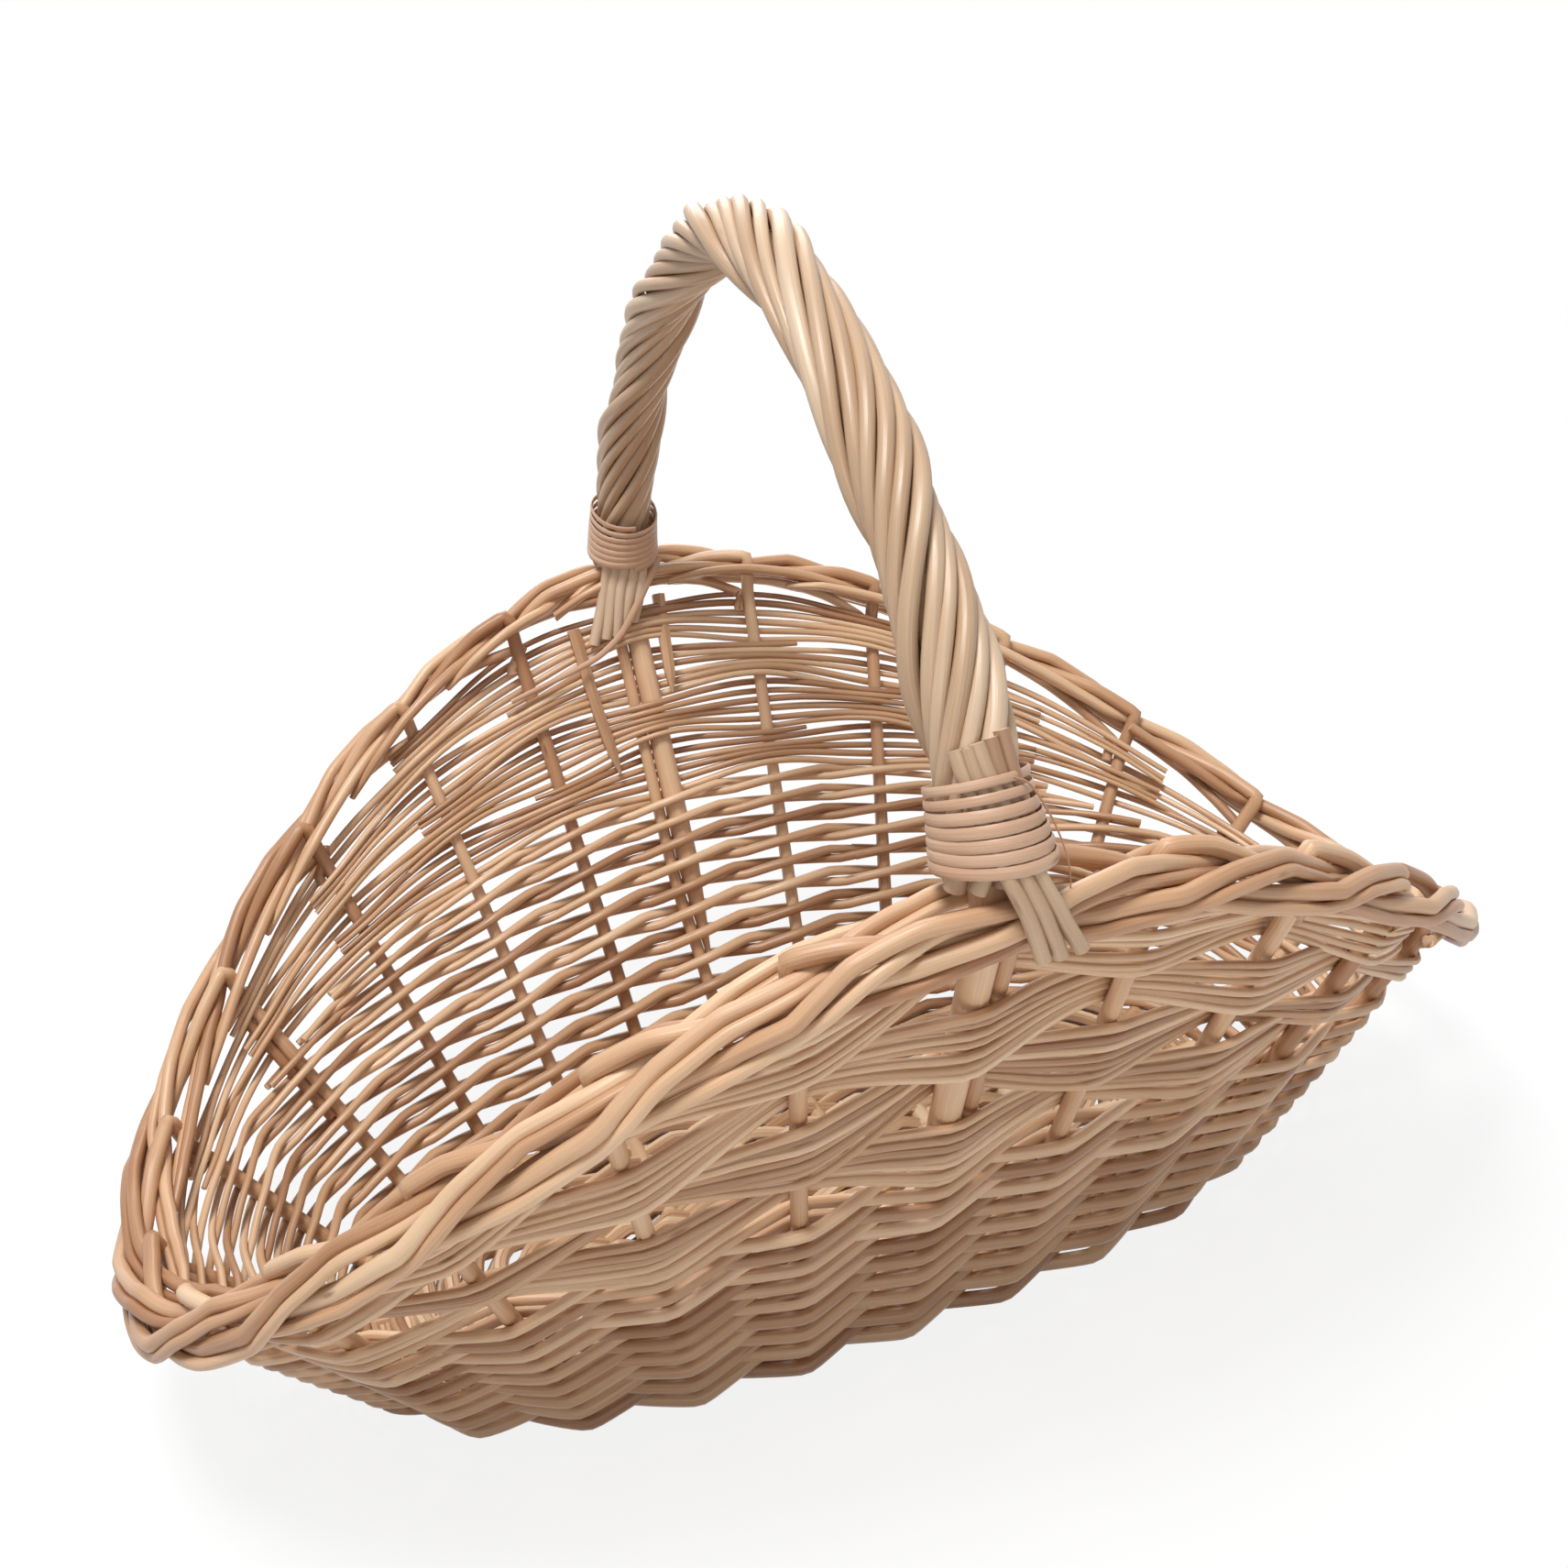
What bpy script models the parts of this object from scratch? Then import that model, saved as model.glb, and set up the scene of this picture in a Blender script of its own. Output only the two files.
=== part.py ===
"""A boat-shaped oval willow basket with an arched, rope-twisted handle.

Side stakes rise from sockets in a stiff oval base, through a dense paired lower wall and four openwork
bands of weavers, and bend over at the rim, where the same rods are laid into a rope border. A thick bow
rod is driven into the weave on both long sides, four strands of rods twist round it, and a skein of split
willow is wound round each foot.

Frame: +X along the basket, -Y the front long side, +Z up, origin in the middle of the resting face's plane.
A place on the basket is counted in stake spacings, counterclockwise from the +X tip.
"""

import math

import bmesh
import bpy
from mathutils import Vector

# Driving dimensions, in metres
RIM_HALF_LENGTH = 0.180
RIM_HALF_WIDTH = 0.123
RIM_SIDE_HEIGHT = 0.149
RIM_END_HEIGHT = 0.045
BASE_HALF_LENGTH = 0.129
BASE_HALF_WIDTH = 0.0595
BASE_OFFSET = -0.006
BASE_THICKNESS = 0.008
HANDLE_HEIGHT = 0.268
HANDLE_LEAN_OFFSET = 0.010

# Outline exponents: 2 is an ellipse, more is squarer, less is more pointed
RIM_ROUNDNESS = 2.06
BASE_ROUNDNESS = 2.7
RIM_DIP = 1.85
HANDLE_ROUNDNESS = 1.62
OUTLINE_STEPS = 720

# The step, in stake spacings, that the wall's direction is taken over
PLACE_STEP_SHARE = 0.02

# Rods, and the clearance between pieces that touch
STAKES = 24
STAKE_DIAMETER = 0.0050
WEAVER_DIAMETER = 0.0038
BOW_DIAMETER = 0.0090
SKEIN_DIAMETER = 0.0020
GAP = 0.0003
WELD_SHARE = 0.01

# Base: stake sockets in its edge, cross sticks pierced by long sticks in its middle
SOCKET_DEPTH = 0.014
CROSS_STICKS = 6
CROSS_STICK_DIAMETER = 0.0080
LONG_STICK_DIAMETER = 0.0050
STICK_FLOOR_THICKNESS = 0.0012
STICK_INSET = 0.0030

# Paired lower wall: how far up the stakes it reaches, and its rows, taller towards the base. The short rows
# lie on top at the back only, and thin out towards the ends, over these shares of the half width.
ROWS = 9
SHORT_ROWS = 3
SHORT_ROW_START_SHARE = 0.4
SHORT_ROW_FULL_SHARE = 0.9
THIN_ROW_SHARE = 0.04
ROW_GROWTH_SHARE = 0.45
ROW_GROOVE_DEPTH = 0.0016
SPAN_GROOVE_SHARE = 0.5
PAIRING_SHARE_AT_SIDES = 0.50
PAIRING_SHARE_AT_ENDS = 0.74
PAIRING_BACK_SHARE = 0.06
SPAN_WALL_SHARE = 0.65

# Openwork bands
BANDS = 4
BAND_THICKNESS = 0.0024
BAND_STEPS = 4
BAND_SHARE_AT_STAKES = 0.66

# Border: each rod turns round the border's middle while it runs past the next stakes
BORDER_SPANS = 3.15
BORDER_STEPS = 7
BORDER_START = math.radians(250)
BORDER_TURN = math.radians(95)
BORDER_TILT = math.radians(18)
BORDER_RADIAL_SHARE = 1.17
BORDER_UPRIGHT_SHARE = 0.86
BORDER_CLEARANCE = 0.0022
BEND_SHARE = 0.025
PARTED_SHARE = 0.2
PARTING_FADE_SHARE = 0.45

# Handle: bow, strands and the skein bindings at its feet
BOW_REACH_SHARE = 0.22
BOW_POINT_LENGTH = 0.025
BOW_TIP_SHARE = 0.15
BOW_STEPS = 22
STRANDS = 4
STRAND_THICKNESS = 0.0046
STRAND_WIDTH = 0.0116
STRAND_TURNS = 2.3
STRAND_STEPS = 28
STRAND_SIDES = 8
BINDING_TURNS = 7
BINDING_STEPS = 13
BINDING_RISE_HEIGHT = 0.0055
BINDING_FLARE_WIDTH = 0.0018
SKEIN_GAP = 0.0009

FAR_FOOT = STAKES // 4
NEAR_FOOT = 3 * STAKES // 4
FEET = (FAR_FOOT, NEAR_FOOT)
STAKE_RADIUS = STAKE_DIAMETER / 2
BOW_RADIUS = BOW_DIAMETER / 2
SOCKET_HEIGHT = BASE_THICKNESS / 2
STICK_HEIGHT = STICK_FLOOR_THICKNESS + GAP + CROSS_STICK_DIAMETER / 2
BORDER_RADIAL = BORDER_RADIAL_SHARE * (STAKE_DIAMETER + GAP)
BORDER_UPRIGHT = BORDER_UPRIGHT_SHARE * (STAKE_DIAMETER + GAP)
UP = Vector((0, 0, 1))

COLOURS = {
    "stake_willow": (0.66, 0.43, 0.26),
    "weaver_willow": (0.70, 0.48, 0.31),
    "band_willow": (0.60, 0.40, 0.26),
    "base_willow": (0.64, 0.43, 0.27),
    "handle_willow": (0.74, 0.60, 0.40),
    "skein_willow": (0.72, 0.49, 0.34),
}


def make_material(name):
    material = bpy.data.materials.new(name)
    material.use_nodes = True
    shader = material.node_tree.nodes["Principled BSDF"]
    shader.inputs["Base Color"].default_value = (*COLOURS[name], 1)
    shader.inputs["Roughness"].default_value = 0.55
    shader.inputs["Metallic"].default_value = 0
    return material


# Lines: a line is its points and the length of line up to each of them

def measured(points):
    lengths = [0]
    for first, second in zip(points, points[1:]):
        lengths.append(lengths[-1] + (second - first).length)
    return points, lengths


def point_along(line, wanted):
    points, lengths = line
    low, high = 0, len(lengths) - 1
    while high - low > 1:
        middle = (low + high) // 2
        if lengths[middle] <= wanted:
            low = middle
        else:
            high = middle
    share = (wanted - lengths[low]) / (lengths[high] - lengths[low])
    return points[low].lerp(points[high], share)


def superellipse(half_length, half_width, power, angle):
    across, along = math.sin(angle), math.cos(angle)
    first = half_length * math.copysign(abs(along) ** (2 / power), along)
    second = half_width * math.copysign(abs(across) ** (2 / power), across)
    return first, second


def oval(half_length, half_width, power, shift):
    """A closed oval line, counterclockwise from its +X tip."""
    points = []
    for step in range(OUTLINE_STEPS + 1):
        angle = 2 * math.pi * step / OUTLINE_STEPS
        x, y = superellipse(half_length, half_width, power, angle)
        points.append(Vector((x + shift, y, 0)))
    return measured(points)


RIM = oval(RIM_HALF_LENGTH, RIM_HALF_WIDTH, RIM_ROUNDNESS, 0)
BASE = oval(BASE_HALF_LENGTH, BASE_HALF_WIDTH, BASE_ROUNDNESS, BASE_OFFSET)
RIM_SPACING = RIM[1][-1] / STAKES
BASE_SPACING = BASE[1][-1] / STAKES


def oval_point(line, place):
    return point_along(line, line[1][-1] * (place % STAKES) / STAKES)


# The wall: straight stakes between the base's oval and the rim's saddle-shaped oval

def wall_ends(place):
    foot = oval_point(BASE, place)
    foot.z = SOCKET_HEIGHT
    top = oval_point(RIM, place)
    dip = abs(top.x / RIM_HALF_LENGTH) ** RIM_DIP
    top.z = RIM_SIDE_HEIGHT - (RIM_SIDE_HEIGHT - RIM_END_HEIGHT) * dip
    return foot, top


def wall_point(place, rise, offset=0):
    """A point of the wall, this far out from its middle surface."""
    foot, top = wall_ends(place)
    outward = wall_along(place, rise).cross(top - foot).normalized()
    return foot.lerp(top, rise) + outward * offset


def wall_along(place, rise):
    """The direction of a row of weaving, counterclockwise."""
    before = wall_ends(place - PLACE_STEP_SHARE)
    after = wall_ends(place + PLACE_STEP_SHARE)
    return (after[0].lerp(after[1], rise) - before[0].lerp(before[1], rise)).normalized()


def wall_height(place):
    foot, top = wall_ends(place)
    return (top - foot).length


def pairing_top(place):
    """How far up the stakes the paired lower wall ends: higher at the ends and at the back."""
    rim = oval_point(RIM, place)
    to_tip = (rim.x / RIM_HALF_LENGTH) ** 2
    top = PAIRING_SHARE_AT_SIDES + (PAIRING_SHARE_AT_ENDS - PAIRING_SHARE_AT_SIDES) * to_tip
    return top + PAIRING_BACK_SHARE * rim.y / RIM_HALF_WIDTH


def bands_top(place):
    """How far up the stakes the openwork ends, under the border."""
    return 1 - (BORDER_UPRIGHT + STAKE_RADIUS + BORDER_CLEARANCE) / wall_height(place)


def from_foot(place):
    """The signed distance to the nearest handle foot, in spacings."""
    distances = [(place - foot + STAKES / 2) % STAKES - STAKES / 2 for foot in FEET]
    return min(distances, key=abs)


def near_foot(place, flat, fade):
    """1 within `flat` spacings of a handle foot, falling smoothly to 0 over `fade` more."""
    share = min(max((abs(from_foot(place)) - flat) / fade, 0), 1)
    return 0.5 + 0.5 * math.cos(math.pi * share)


def stake_place(number, rise):
    """A stake's place. At a handle foot the bow has that place, and the stake stands beside it."""
    if number not in FEET:
        return number
    spacing = BASE_SPACING + (RIM_SPACING - BASE_SPACING) * rise
    return number + (BOW_RADIUS + STAKE_RADIUS + 2 * GAP) / spacing * min(rise / BOW_REACH_SHARE, 1)


# The handle: an arch in a plane through both feet, tilted by its lean

def handle_line():
    points = []
    rise = HANDLE_HEIGHT - RIM_SIDE_HEIGHT
    for step in range(OUTLINE_STEPS + 1):
        angle = math.pi * step / OUTLINE_STEPS
        y, z = superellipse(RIM_HALF_WIDTH, rise, HANDLE_ROUNDNESS, angle)
        points.append(Vector((HANDLE_LEAN_OFFSET * z / rise, -y, RIM_SIDE_HEIGHT + z)))
    return measured(points)


HANDLE = handle_line()
HANDLE_LENGTH = HANDLE[1][-1]
HANDLE_ACROSS = Vector((HANDLE_HEIGHT - RIM_SIDE_HEIGHT, 0, -HANDLE_LEAN_OFFSET)).normalized()
BINDING_FOOT = BORDER_UPRIGHT + STAKE_RADIUS + BINDING_RISE_HEIGHT
BINDING_PITCH = SKEIN_DIAMETER + SKEIN_GAP


def handle_spoke(distance, angle):
    """The handle's middle at a distance from the near foot, and a direction out of it at an angle."""
    step = HANDLE_LENGTH / OUTLINE_STEPS
    along = (point_along(HANDLE, distance + step) - point_along(HANDLE, distance - step)).normalized()
    outward = along.cross(HANDLE_ACROSS)
    spoke = outward * math.cos(angle) - HANDLE_ACROSS * math.sin(angle)
    return point_along(HANDLE, distance), spoke


# Makers

def add_object(name, data):
    thing = bpy.data.objects.new(name, data)
    bpy.context.collection.objects.link(thing)
    return thing


def tube(name, points, radius, material, end_shares=(1, 1), resolution=1):
    """A round rod along points, whose end radii may be shares of the rest."""
    curve = bpy.data.curves.new(name, "CURVE")
    curve.dimensions = "3D"
    curve.bevel_depth = radius
    curve.bevel_resolution = resolution
    curve.use_fill_caps = True
    curve.render_resolution_u = 0
    spline = curve.splines.new("POLY")
    spline.points.add(len(points) - 1)
    for knot, point in zip(spline.points, points):
        knot.co = (*point, 1)
    spline.points[0].radius, spline.points[-1].radius = end_shares
    curve.materials.append(material)
    return add_object(name, curve)


def loft(name, sections, material, closed):
    """One body through sections of corners, joined end to start or closed with flat ends."""
    mesh = bmesh.new()
    loops = [[mesh.verts.new(corner) for corner in section] for section in sections]
    spans = list(zip(loops, loops[1:]))
    if closed:
        spans.append((loops[-1], loops[0]))
    else:
        mesh.faces.new(loops[0])
        mesh.faces.new(reversed(loops[-1]))
    for first, second in spans:
        for index in range(len(first)):
            mesh.faces.new((first[index - 1], first[index], second[index], second[index - 1]))
    bmesh.ops.recalc_face_normals(mesh, faces=mesh.faces)
    data = bpy.data.meshes.new(name)
    mesh.to_mesh(data)
    mesh.free()
    data.materials.append(material)
    return add_object(name, data)


def to_mesh(name, rods, material):
    """One mesh object in place of several rods, with each rod's caps sewn to its sides."""
    bpy.context.view_layer.update()
    graph = bpy.context.evaluated_depsgraph_get()
    joined = bmesh.new()
    for rod in rods:
        evaluated = rod.evaluated_get(graph)
        joined.from_mesh(evaluated.to_mesh())
        evaluated.to_mesh_clear()
    for rod in rods:
        bpy.data.objects.remove(rod)
    bmesh.ops.remove_doubles(joined, verts=joined.verts, dist=WELD_SHARE * GAP)
    bmesh.ops.recalc_face_normals(joined, faces=joined.faces)
    data = bpy.data.meshes.new(name)
    joined.to_mesh(data)
    joined.free()
    data.materials.clear()
    data.materials.append(material)
    return add_object(name, data)


def cut(body, cutter):
    cutter.hide_render = True
    cutter.display_type = "WIRE"
    difference = body.modifiers.new(cutter.name, "BOOLEAN")
    difference.operation = "DIFFERENCE"
    difference.solver = "EXACT"
    difference.object = cutter


# Stakes and border

def stake_upright(number, socket_depth):
    """A stake from its socket, round the bend at the base's edge and up the wall to the border."""
    place = stake_place(number, 0)
    foot = wall_point(place, 0)
    inward = UP.cross(wall_along(place, 0)).normalized()
    points = [foot + inward * socket_depth, foot + inward * STAKE_DIAMETER]
    rises = [STAKE_DIAMETER / wall_height(place), 0.5, bands_top(number)]
    if number in FEET:
        rises.insert(1, BOW_REACH_SHARE)
    points += [wall_point(stake_place(number, rise), rise) for rise in rises]
    return points


def border_point(place, run):
    """A point of a border rod that has run for this many spacings since it was bent down."""
    along = wall_along(place, 1)
    outward = along.cross(UP).normalized()
    upward = outward.cross(along).normalized()
    tilted_outward = outward * math.cos(BORDER_TILT) - upward * math.sin(BORDER_TILT)
    tilted_upward = upward * math.cos(BORDER_TILT) + outward * math.sin(BORDER_TILT)
    phase = BORDER_START - BORDER_TURN * run
    radial = BORDER_RADIAL * math.cos(phase)
    phase_at_foot = BORDER_START - BORDER_TURN * (run - from_foot(place))
    side = math.copysign(1, math.cos(phase_at_foot))
    room = BOW_RADIUS + STAKE_RADIUS + 2 * GAP + BORDER_UPRIGHT * math.sin(BORDER_TILT)
    parted = side * max(abs(radial), room / math.cos(BORDER_TILT))
    parting = near_foot(place, PARTED_SHARE, PARTING_FADE_SHARE) * min(run / (1 - PARTED_SHARE), 1)
    radial += (parted - radial) * parting
    return wall_point(place, 1) + tilted_outward * radial + tilted_upward * BORDER_UPRIGHT * math.sin(phase)


def side_stake(number, material):
    """A stake with the length of it that is laid down in the border."""
    points = stake_upright(number, SOCKET_DEPTH)
    start = stake_place(number, 1)
    steps = [BEND_SHARE] + [step / BORDER_STEPS for step in range(1, BORDER_STEPS + 1)]
    for share in steps:
        run = share * BORDER_SPANS
        points.append(border_point(start + run, run))
    return tube(f"side_stake_{number + 1:02d}", points, STAKE_RADIUS, material)


# Base

def wall_half_thickness(place):
    """A weaver on each side of the rod at a stake, and two crossing weavers between stakes."""
    if place % 1:
        return SPAN_WALL_SHARE * WEAVER_DIAMETER
    rod_radius = BOW_RADIUS if place % STAKES in FEET else STAKE_RADIUS
    return rod_radius + WEAVER_DIAMETER


def base_edge(place):
    """A point of the base's edge, inside the lower wall's first row."""
    inward = UP.cross(wall_along(place, 0)).normalized()
    return oval_point(BASE, place) + inward * (wall_half_thickness(place) + GAP)


def base_panel(material):
    sections = []
    for height in (0, BASE_THICKNESS):
        sections.append([base_edge(half / 2) + UP * height for half in range(2 * STAKES)])
    return loft("base_panel", sections, material, closed=False)


def stick_ends(place, mirrored, overrun):
    """A base stick's two ends, a little inside the base's edge, lengthened by an overrun."""
    ends = [base_edge(place) + UP * STICK_HEIGHT, base_edge(mirrored) + UP * STICK_HEIGHT]
    along = (ends[1] - ends[0]).normalized()
    return [ends[0] + along * (STICK_INSET - overrun), ends[1] - along * (STICK_INSET - overrun)]


def cross_stick_places():
    first = (1 - CROSS_STICKS) / 2
    offsets = [first + number for number in range(CROSS_STICKS)]
    return [(FAR_FOOT + offset, NEAR_FOOT - offset) for offset in offsets]


def long_stick_places():
    return [(offset, STAKES / 2 - offset) for offset in (0.5, -0.5)]


def base_sticks(places, diameter, name, material, clearance=0):
    rods = []
    for number, (place, mirrored) in enumerate(places):
        ends = stick_ends(place, mirrored, clearance)
        radius = diameter / 2 + clearance
        rods.append(tube(f"{name}_{number + 1}", ends, radius, material, resolution=2))
    return rods


def make_base(material, channels):
    base = base_panel(material)
    cross_places, long_places = cross_stick_places(), long_stick_places()
    long_room = base_sticks(long_places, LONG_STICK_DIAMETER, "long_room", material, GAP)
    long_room = to_mesh("long_stick_room", long_room, material)
    cross_room = base_sticks(cross_places, CROSS_STICK_DIAMETER, "cross_room", material, GAP)
    cross_room = to_mesh("cross_stick_room", cross_room, material)
    for cutter in (channels, long_room, cross_room):
        cut(base, cutter)
    base_sticks(long_places, LONG_STICK_DIAMETER, "base_long_stick", material)
    for rod in base_sticks(cross_places, CROSS_STICK_DIAMETER, "base_cross_stick", material):
        name = rod.name
        rod.name = "uncut_" + name
        cut(to_mesh(name, [rod], material), long_room)


# Lower wall and bands

def short_row_share(place):
    """How much of its full height a short row has: all of it at the back, next to nothing at the front."""
    share = oval_point(RIM, place).y / RIM_HALF_WIDTH - SHORT_ROW_START_SHARE
    return min(max(share / (SHORT_ROW_FULL_SHARE - SHORT_ROW_START_SHARE), THIN_ROW_SHARE), 1)


def row_edge_shares(place):
    """Where the rows start and end at a place, as shares of the paired wall's height there."""
    rows = ROWS + SHORT_ROWS
    heights = [1 + ROW_GROWTH_SHARE * (1 - row / (rows - 1)) for row in range(rows)]
    heights[ROWS:] = [height * short_row_share(place) for height in heights[ROWS:]]
    return [sum(heights[:row]) / sum(heights) for row in range(rows + 1)]


def lower_wall(material, channels):
    """The dense paired wall: a ridge for each row on both faces, swollen where it passes each stake."""
    sections = []
    for half in range(2 * STAKES):
        place = half / 2
        edges = row_edge_shares(place)
        ridges = [(low + high) / 2 for low, high in zip(edges, edges[1:])]
        top = pairing_top(place)
        thickness = wall_half_thickness(place)
        groove = ROW_GROOVE_DEPTH * (SPAN_GROOVE_SHARE if place % 1 else 1)
        profile = [(top * edge, thickness - groove) for edge in edges]
        profile = sorted(profile + [(top * ridge, thickness) for ridge in ridges])
        outside = [wall_point(place, rise, offset) for rise, offset in profile]
        for corner in outside:
            corner.z = max(corner.z, GAP)
        inside = [wall_point(place, rise, -offset) for rise, offset in reversed(profile)]
        sections.append(outside + inside)
    wall = loft("paired_lower_wall", sections, material, closed=True)
    cut(wall, channels)


def woven_band(number, material):
    """A flat band of weavers that passes outside one stake and inside the next."""
    sections = []
    for step in range(BAND_STEPS * STAKES):
        place = step / BAND_STEPS
        bottom = pairing_top(place)
        pitch = (bands_top(place) - bottom) / BANDS
        at_stake = abs(math.cos(math.pi * place))
        gap_share = GAP / wall_height(place)
        spread = (pitch / 2 - gap_share) * (1 - (1 - BAND_SHARE_AT_STAKES) * at_stake)
        middle = bottom + pitch * (number + 0.5)
        rod = BOW_RADIUS if abs(from_foot(place)) < 1 else STAKE_RADIUS
        swing = (rod + GAP + BAND_THICKNESS / 2) * math.cos(math.pi * (place + number))
        inside, outside = swing - BAND_THICKNESS / 2, swing + BAND_THICKNESS / 2
        corners = ((-spread, inside), (-spread, outside), (spread, outside), (spread, inside))
        sections.append([wall_point(place, middle + rise, offset) for rise, offset in corners])
    loft(f"woven_band_{number + 1}", sections, material, closed=True)


# Handle

def bow_points(overrun):
    """The bow rod, from its point in the front wall, over the arch, to its point in the back wall."""
    def leg(foot):
        height = wall_height(foot)
        tip = BOW_REACH_SHARE - overrun / height
        shoulder = BOW_REACH_SHARE + BOW_POINT_LENGTH / height
        return [wall_point(foot, rise) for rise in (tip, shoulder, (1 + shoulder) / 2)]
    arch = [point_along(HANDLE, HANDLE_LENGTH * step / BOW_STEPS) for step in range(BOW_STEPS + 1)]
    return leg(NEAR_FOOT) + arch + leg(FAR_FOOT)[::-1]


def strand_centre(number, share):
    start = BINDING_FOOT - SKEIN_DIAMETER / 2
    distance = start + (HANDLE_LENGTH - 2 * start) * share
    angle = 2 * math.pi * (STRAND_TURNS * share + number / STRANDS)
    middle, spoke = handle_spoke(distance, angle)
    return middle + spoke * (BOW_RADIUS + GAP + STRAND_THICKNESS / 2), spoke


def handle_strand(number, material):
    """A flat bundle of rods twisted round the bow."""
    sections = []
    for step in range(STRAND_STEPS + 1):
        centre, spoke = strand_centre(number, step / STRAND_STEPS)
        before, _ = strand_centre(number, (step - 0.5) / STRAND_STEPS)
        after, _ = strand_centre(number, (step + 0.5) / STRAND_STEPS)
        width_way = (after - before).cross(spoke).normalized()
        section = []
        for side in range(STRAND_SIDES):
            thick, wide = superellipse(STRAND_THICKNESS / 2, STRAND_WIDTH / 2, 2,
                                       2 * math.pi * side / STRAND_SIDES)
            section.append(centre + spoke * thick + width_way * wide)
        sections.append(section)
    loft(f"handle_strand_{number + 1}", sections, material, closed=False)


def binding_points(from_near):
    """One unbroken winding of skein round a handle foot, wider at the bottom."""
    inner = BOW_RADIUS + GAP + STRAND_THICKNESS + GAP + SKEIN_DIAMETER / 2
    points = []
    for step in range(BINDING_TURNS * BINDING_STEPS + 1):
        turns = step / BINDING_STEPS
        rise = BINDING_FOOT + BINDING_PITCH * turns
        distance = rise if from_near else HANDLE_LENGTH - rise
        angle = 2 * math.pi * (turns if from_near else -turns)
        middle, spoke = handle_spoke(distance, angle)
        points.append(middle + spoke * (inner + BINDING_FLARE_WIDTH * (1 - turns / BINDING_TURNS)))
    return points


def least_gap(points):
    """The least gap between turns of a winding, measured from its points to the next turn's lines."""
    least = None
    for index, point in enumerate(points[:-BINDING_STEPS]):
        for after in range(index + BINDING_STEPS // 2, len(points) - 1):
            first, second = points[after], points[after + 1]
            span = second - first
            share = min(max((point - first).dot(span) / span.length_squared, 0), 1)
            gap = (point - first - span * share).length - SKEIN_DIAMETER
            least = gap if least is None else min(least, gap)
    return least


def make_handle(handle_material, skein_material):
    tube("handle_bow", bow_points(0), BOW_RADIUS, handle_material, (BOW_TIP_SHARE, BOW_TIP_SHARE))
    for number in range(STRANDS):
        handle_strand(number, handle_material)
    for name, from_near in (("near_skein_binding", True), ("far_skein_binding", False)):
        points = binding_points(from_near)
        tube(name, points, SKEIN_DIAMETER / 2, skein_material)
        print(f"{name}: least gap between turns {least_gap(points) * 1000:.2f} mm")


def main():
    for thing in list(bpy.data.objects):
        bpy.data.objects.remove(thing)
    materials = {name: make_material(name) for name in COLOURS}
    stake_material = materials["stake_willow"]
    rods = []
    for number in range(STAKES):
        points = stake_upright(number, SOCKET_DEPTH + GAP)
        rods.append(tube("channel", points, STAKE_RADIUS + GAP, stake_material))
    bow_share = (BOW_TIP_SHARE * BOW_RADIUS + GAP) / (BOW_RADIUS + GAP)
    rods.append(tube("channel", bow_points(GAP), BOW_RADIUS + GAP, stake_material, (bow_share, bow_share)))
    channels = to_mesh("rod_channels", rods, stake_material)
    for number in range(STAKES):
        side_stake(number, stake_material)
    make_base(materials["base_willow"], channels)
    lower_wall(materials["weaver_willow"], channels)
    for number in range(BANDS):
        woven_band(number, materials["band_willow"])
    make_handle(materials["handle_willow"], materials["skein_willow"])


main()
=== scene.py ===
"""A willow basket, rod by rod: every stake, weaver, handle rod and strip of skein is a tube of its own.

The rods follow the same ovals, wall and handle line as the solids that they stand for. A place on the
basket is counted in stake spacings, counterclockwise from the +X tip, and all lengths are in metres. A
wander is given as the number of points from one random knot to the next, and its size.
"""

import math

import bpy
import numpy as np
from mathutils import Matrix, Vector


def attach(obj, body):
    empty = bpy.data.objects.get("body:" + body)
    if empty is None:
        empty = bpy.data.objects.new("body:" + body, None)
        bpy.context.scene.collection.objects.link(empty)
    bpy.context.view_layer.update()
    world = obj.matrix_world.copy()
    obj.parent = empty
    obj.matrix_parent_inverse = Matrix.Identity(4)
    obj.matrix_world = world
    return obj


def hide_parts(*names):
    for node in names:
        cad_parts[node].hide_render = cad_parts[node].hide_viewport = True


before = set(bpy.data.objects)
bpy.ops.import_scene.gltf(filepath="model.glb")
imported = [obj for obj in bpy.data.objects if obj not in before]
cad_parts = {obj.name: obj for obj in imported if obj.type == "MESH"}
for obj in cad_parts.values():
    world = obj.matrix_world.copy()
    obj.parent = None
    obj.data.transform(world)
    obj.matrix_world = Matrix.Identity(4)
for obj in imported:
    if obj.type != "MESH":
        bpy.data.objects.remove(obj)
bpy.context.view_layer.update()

# The camera that sees the basket as the photograph does
CAMERA_PLACE = (-0.1271, -0.3894, 0.3195)
CAMERA_TURN_DEGREES = (72.77, 8.82, -16.83)
CAMERA_LENS_MM = 39.32
CAMERA_SENSOR_MM = 36
CAMERA_SHIFT_SHARES = (0.1018, -0.1493)

# The basket's lines, as in the solids
RIM_HALF_LENGTH = 0.180
RIM_HALF_WIDTH = 0.123
RIM_SIDE_HEIGHT = 0.149
RIM_END_HEIGHT = 0.045
BASE_HALF_LENGTH = 0.129
BASE_HALF_WIDTH = 0.0595
BASE_OFFSET = -0.006
BASE_THICKNESS = 0.008
HANDLE_HEIGHT = 0.268
HANDLE_LEAN_OFFSET = 0.010
RIM_ROUNDNESS = 2.06
BASE_ROUNDNESS = 2.7
RIM_DIP = 1.85
HANDLE_ROUNDNESS = 1.62
OUTLINE_STEPS = 720
PLACE_STEP_SHARE = 0.02
ROUTE_STEPS = 6

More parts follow.
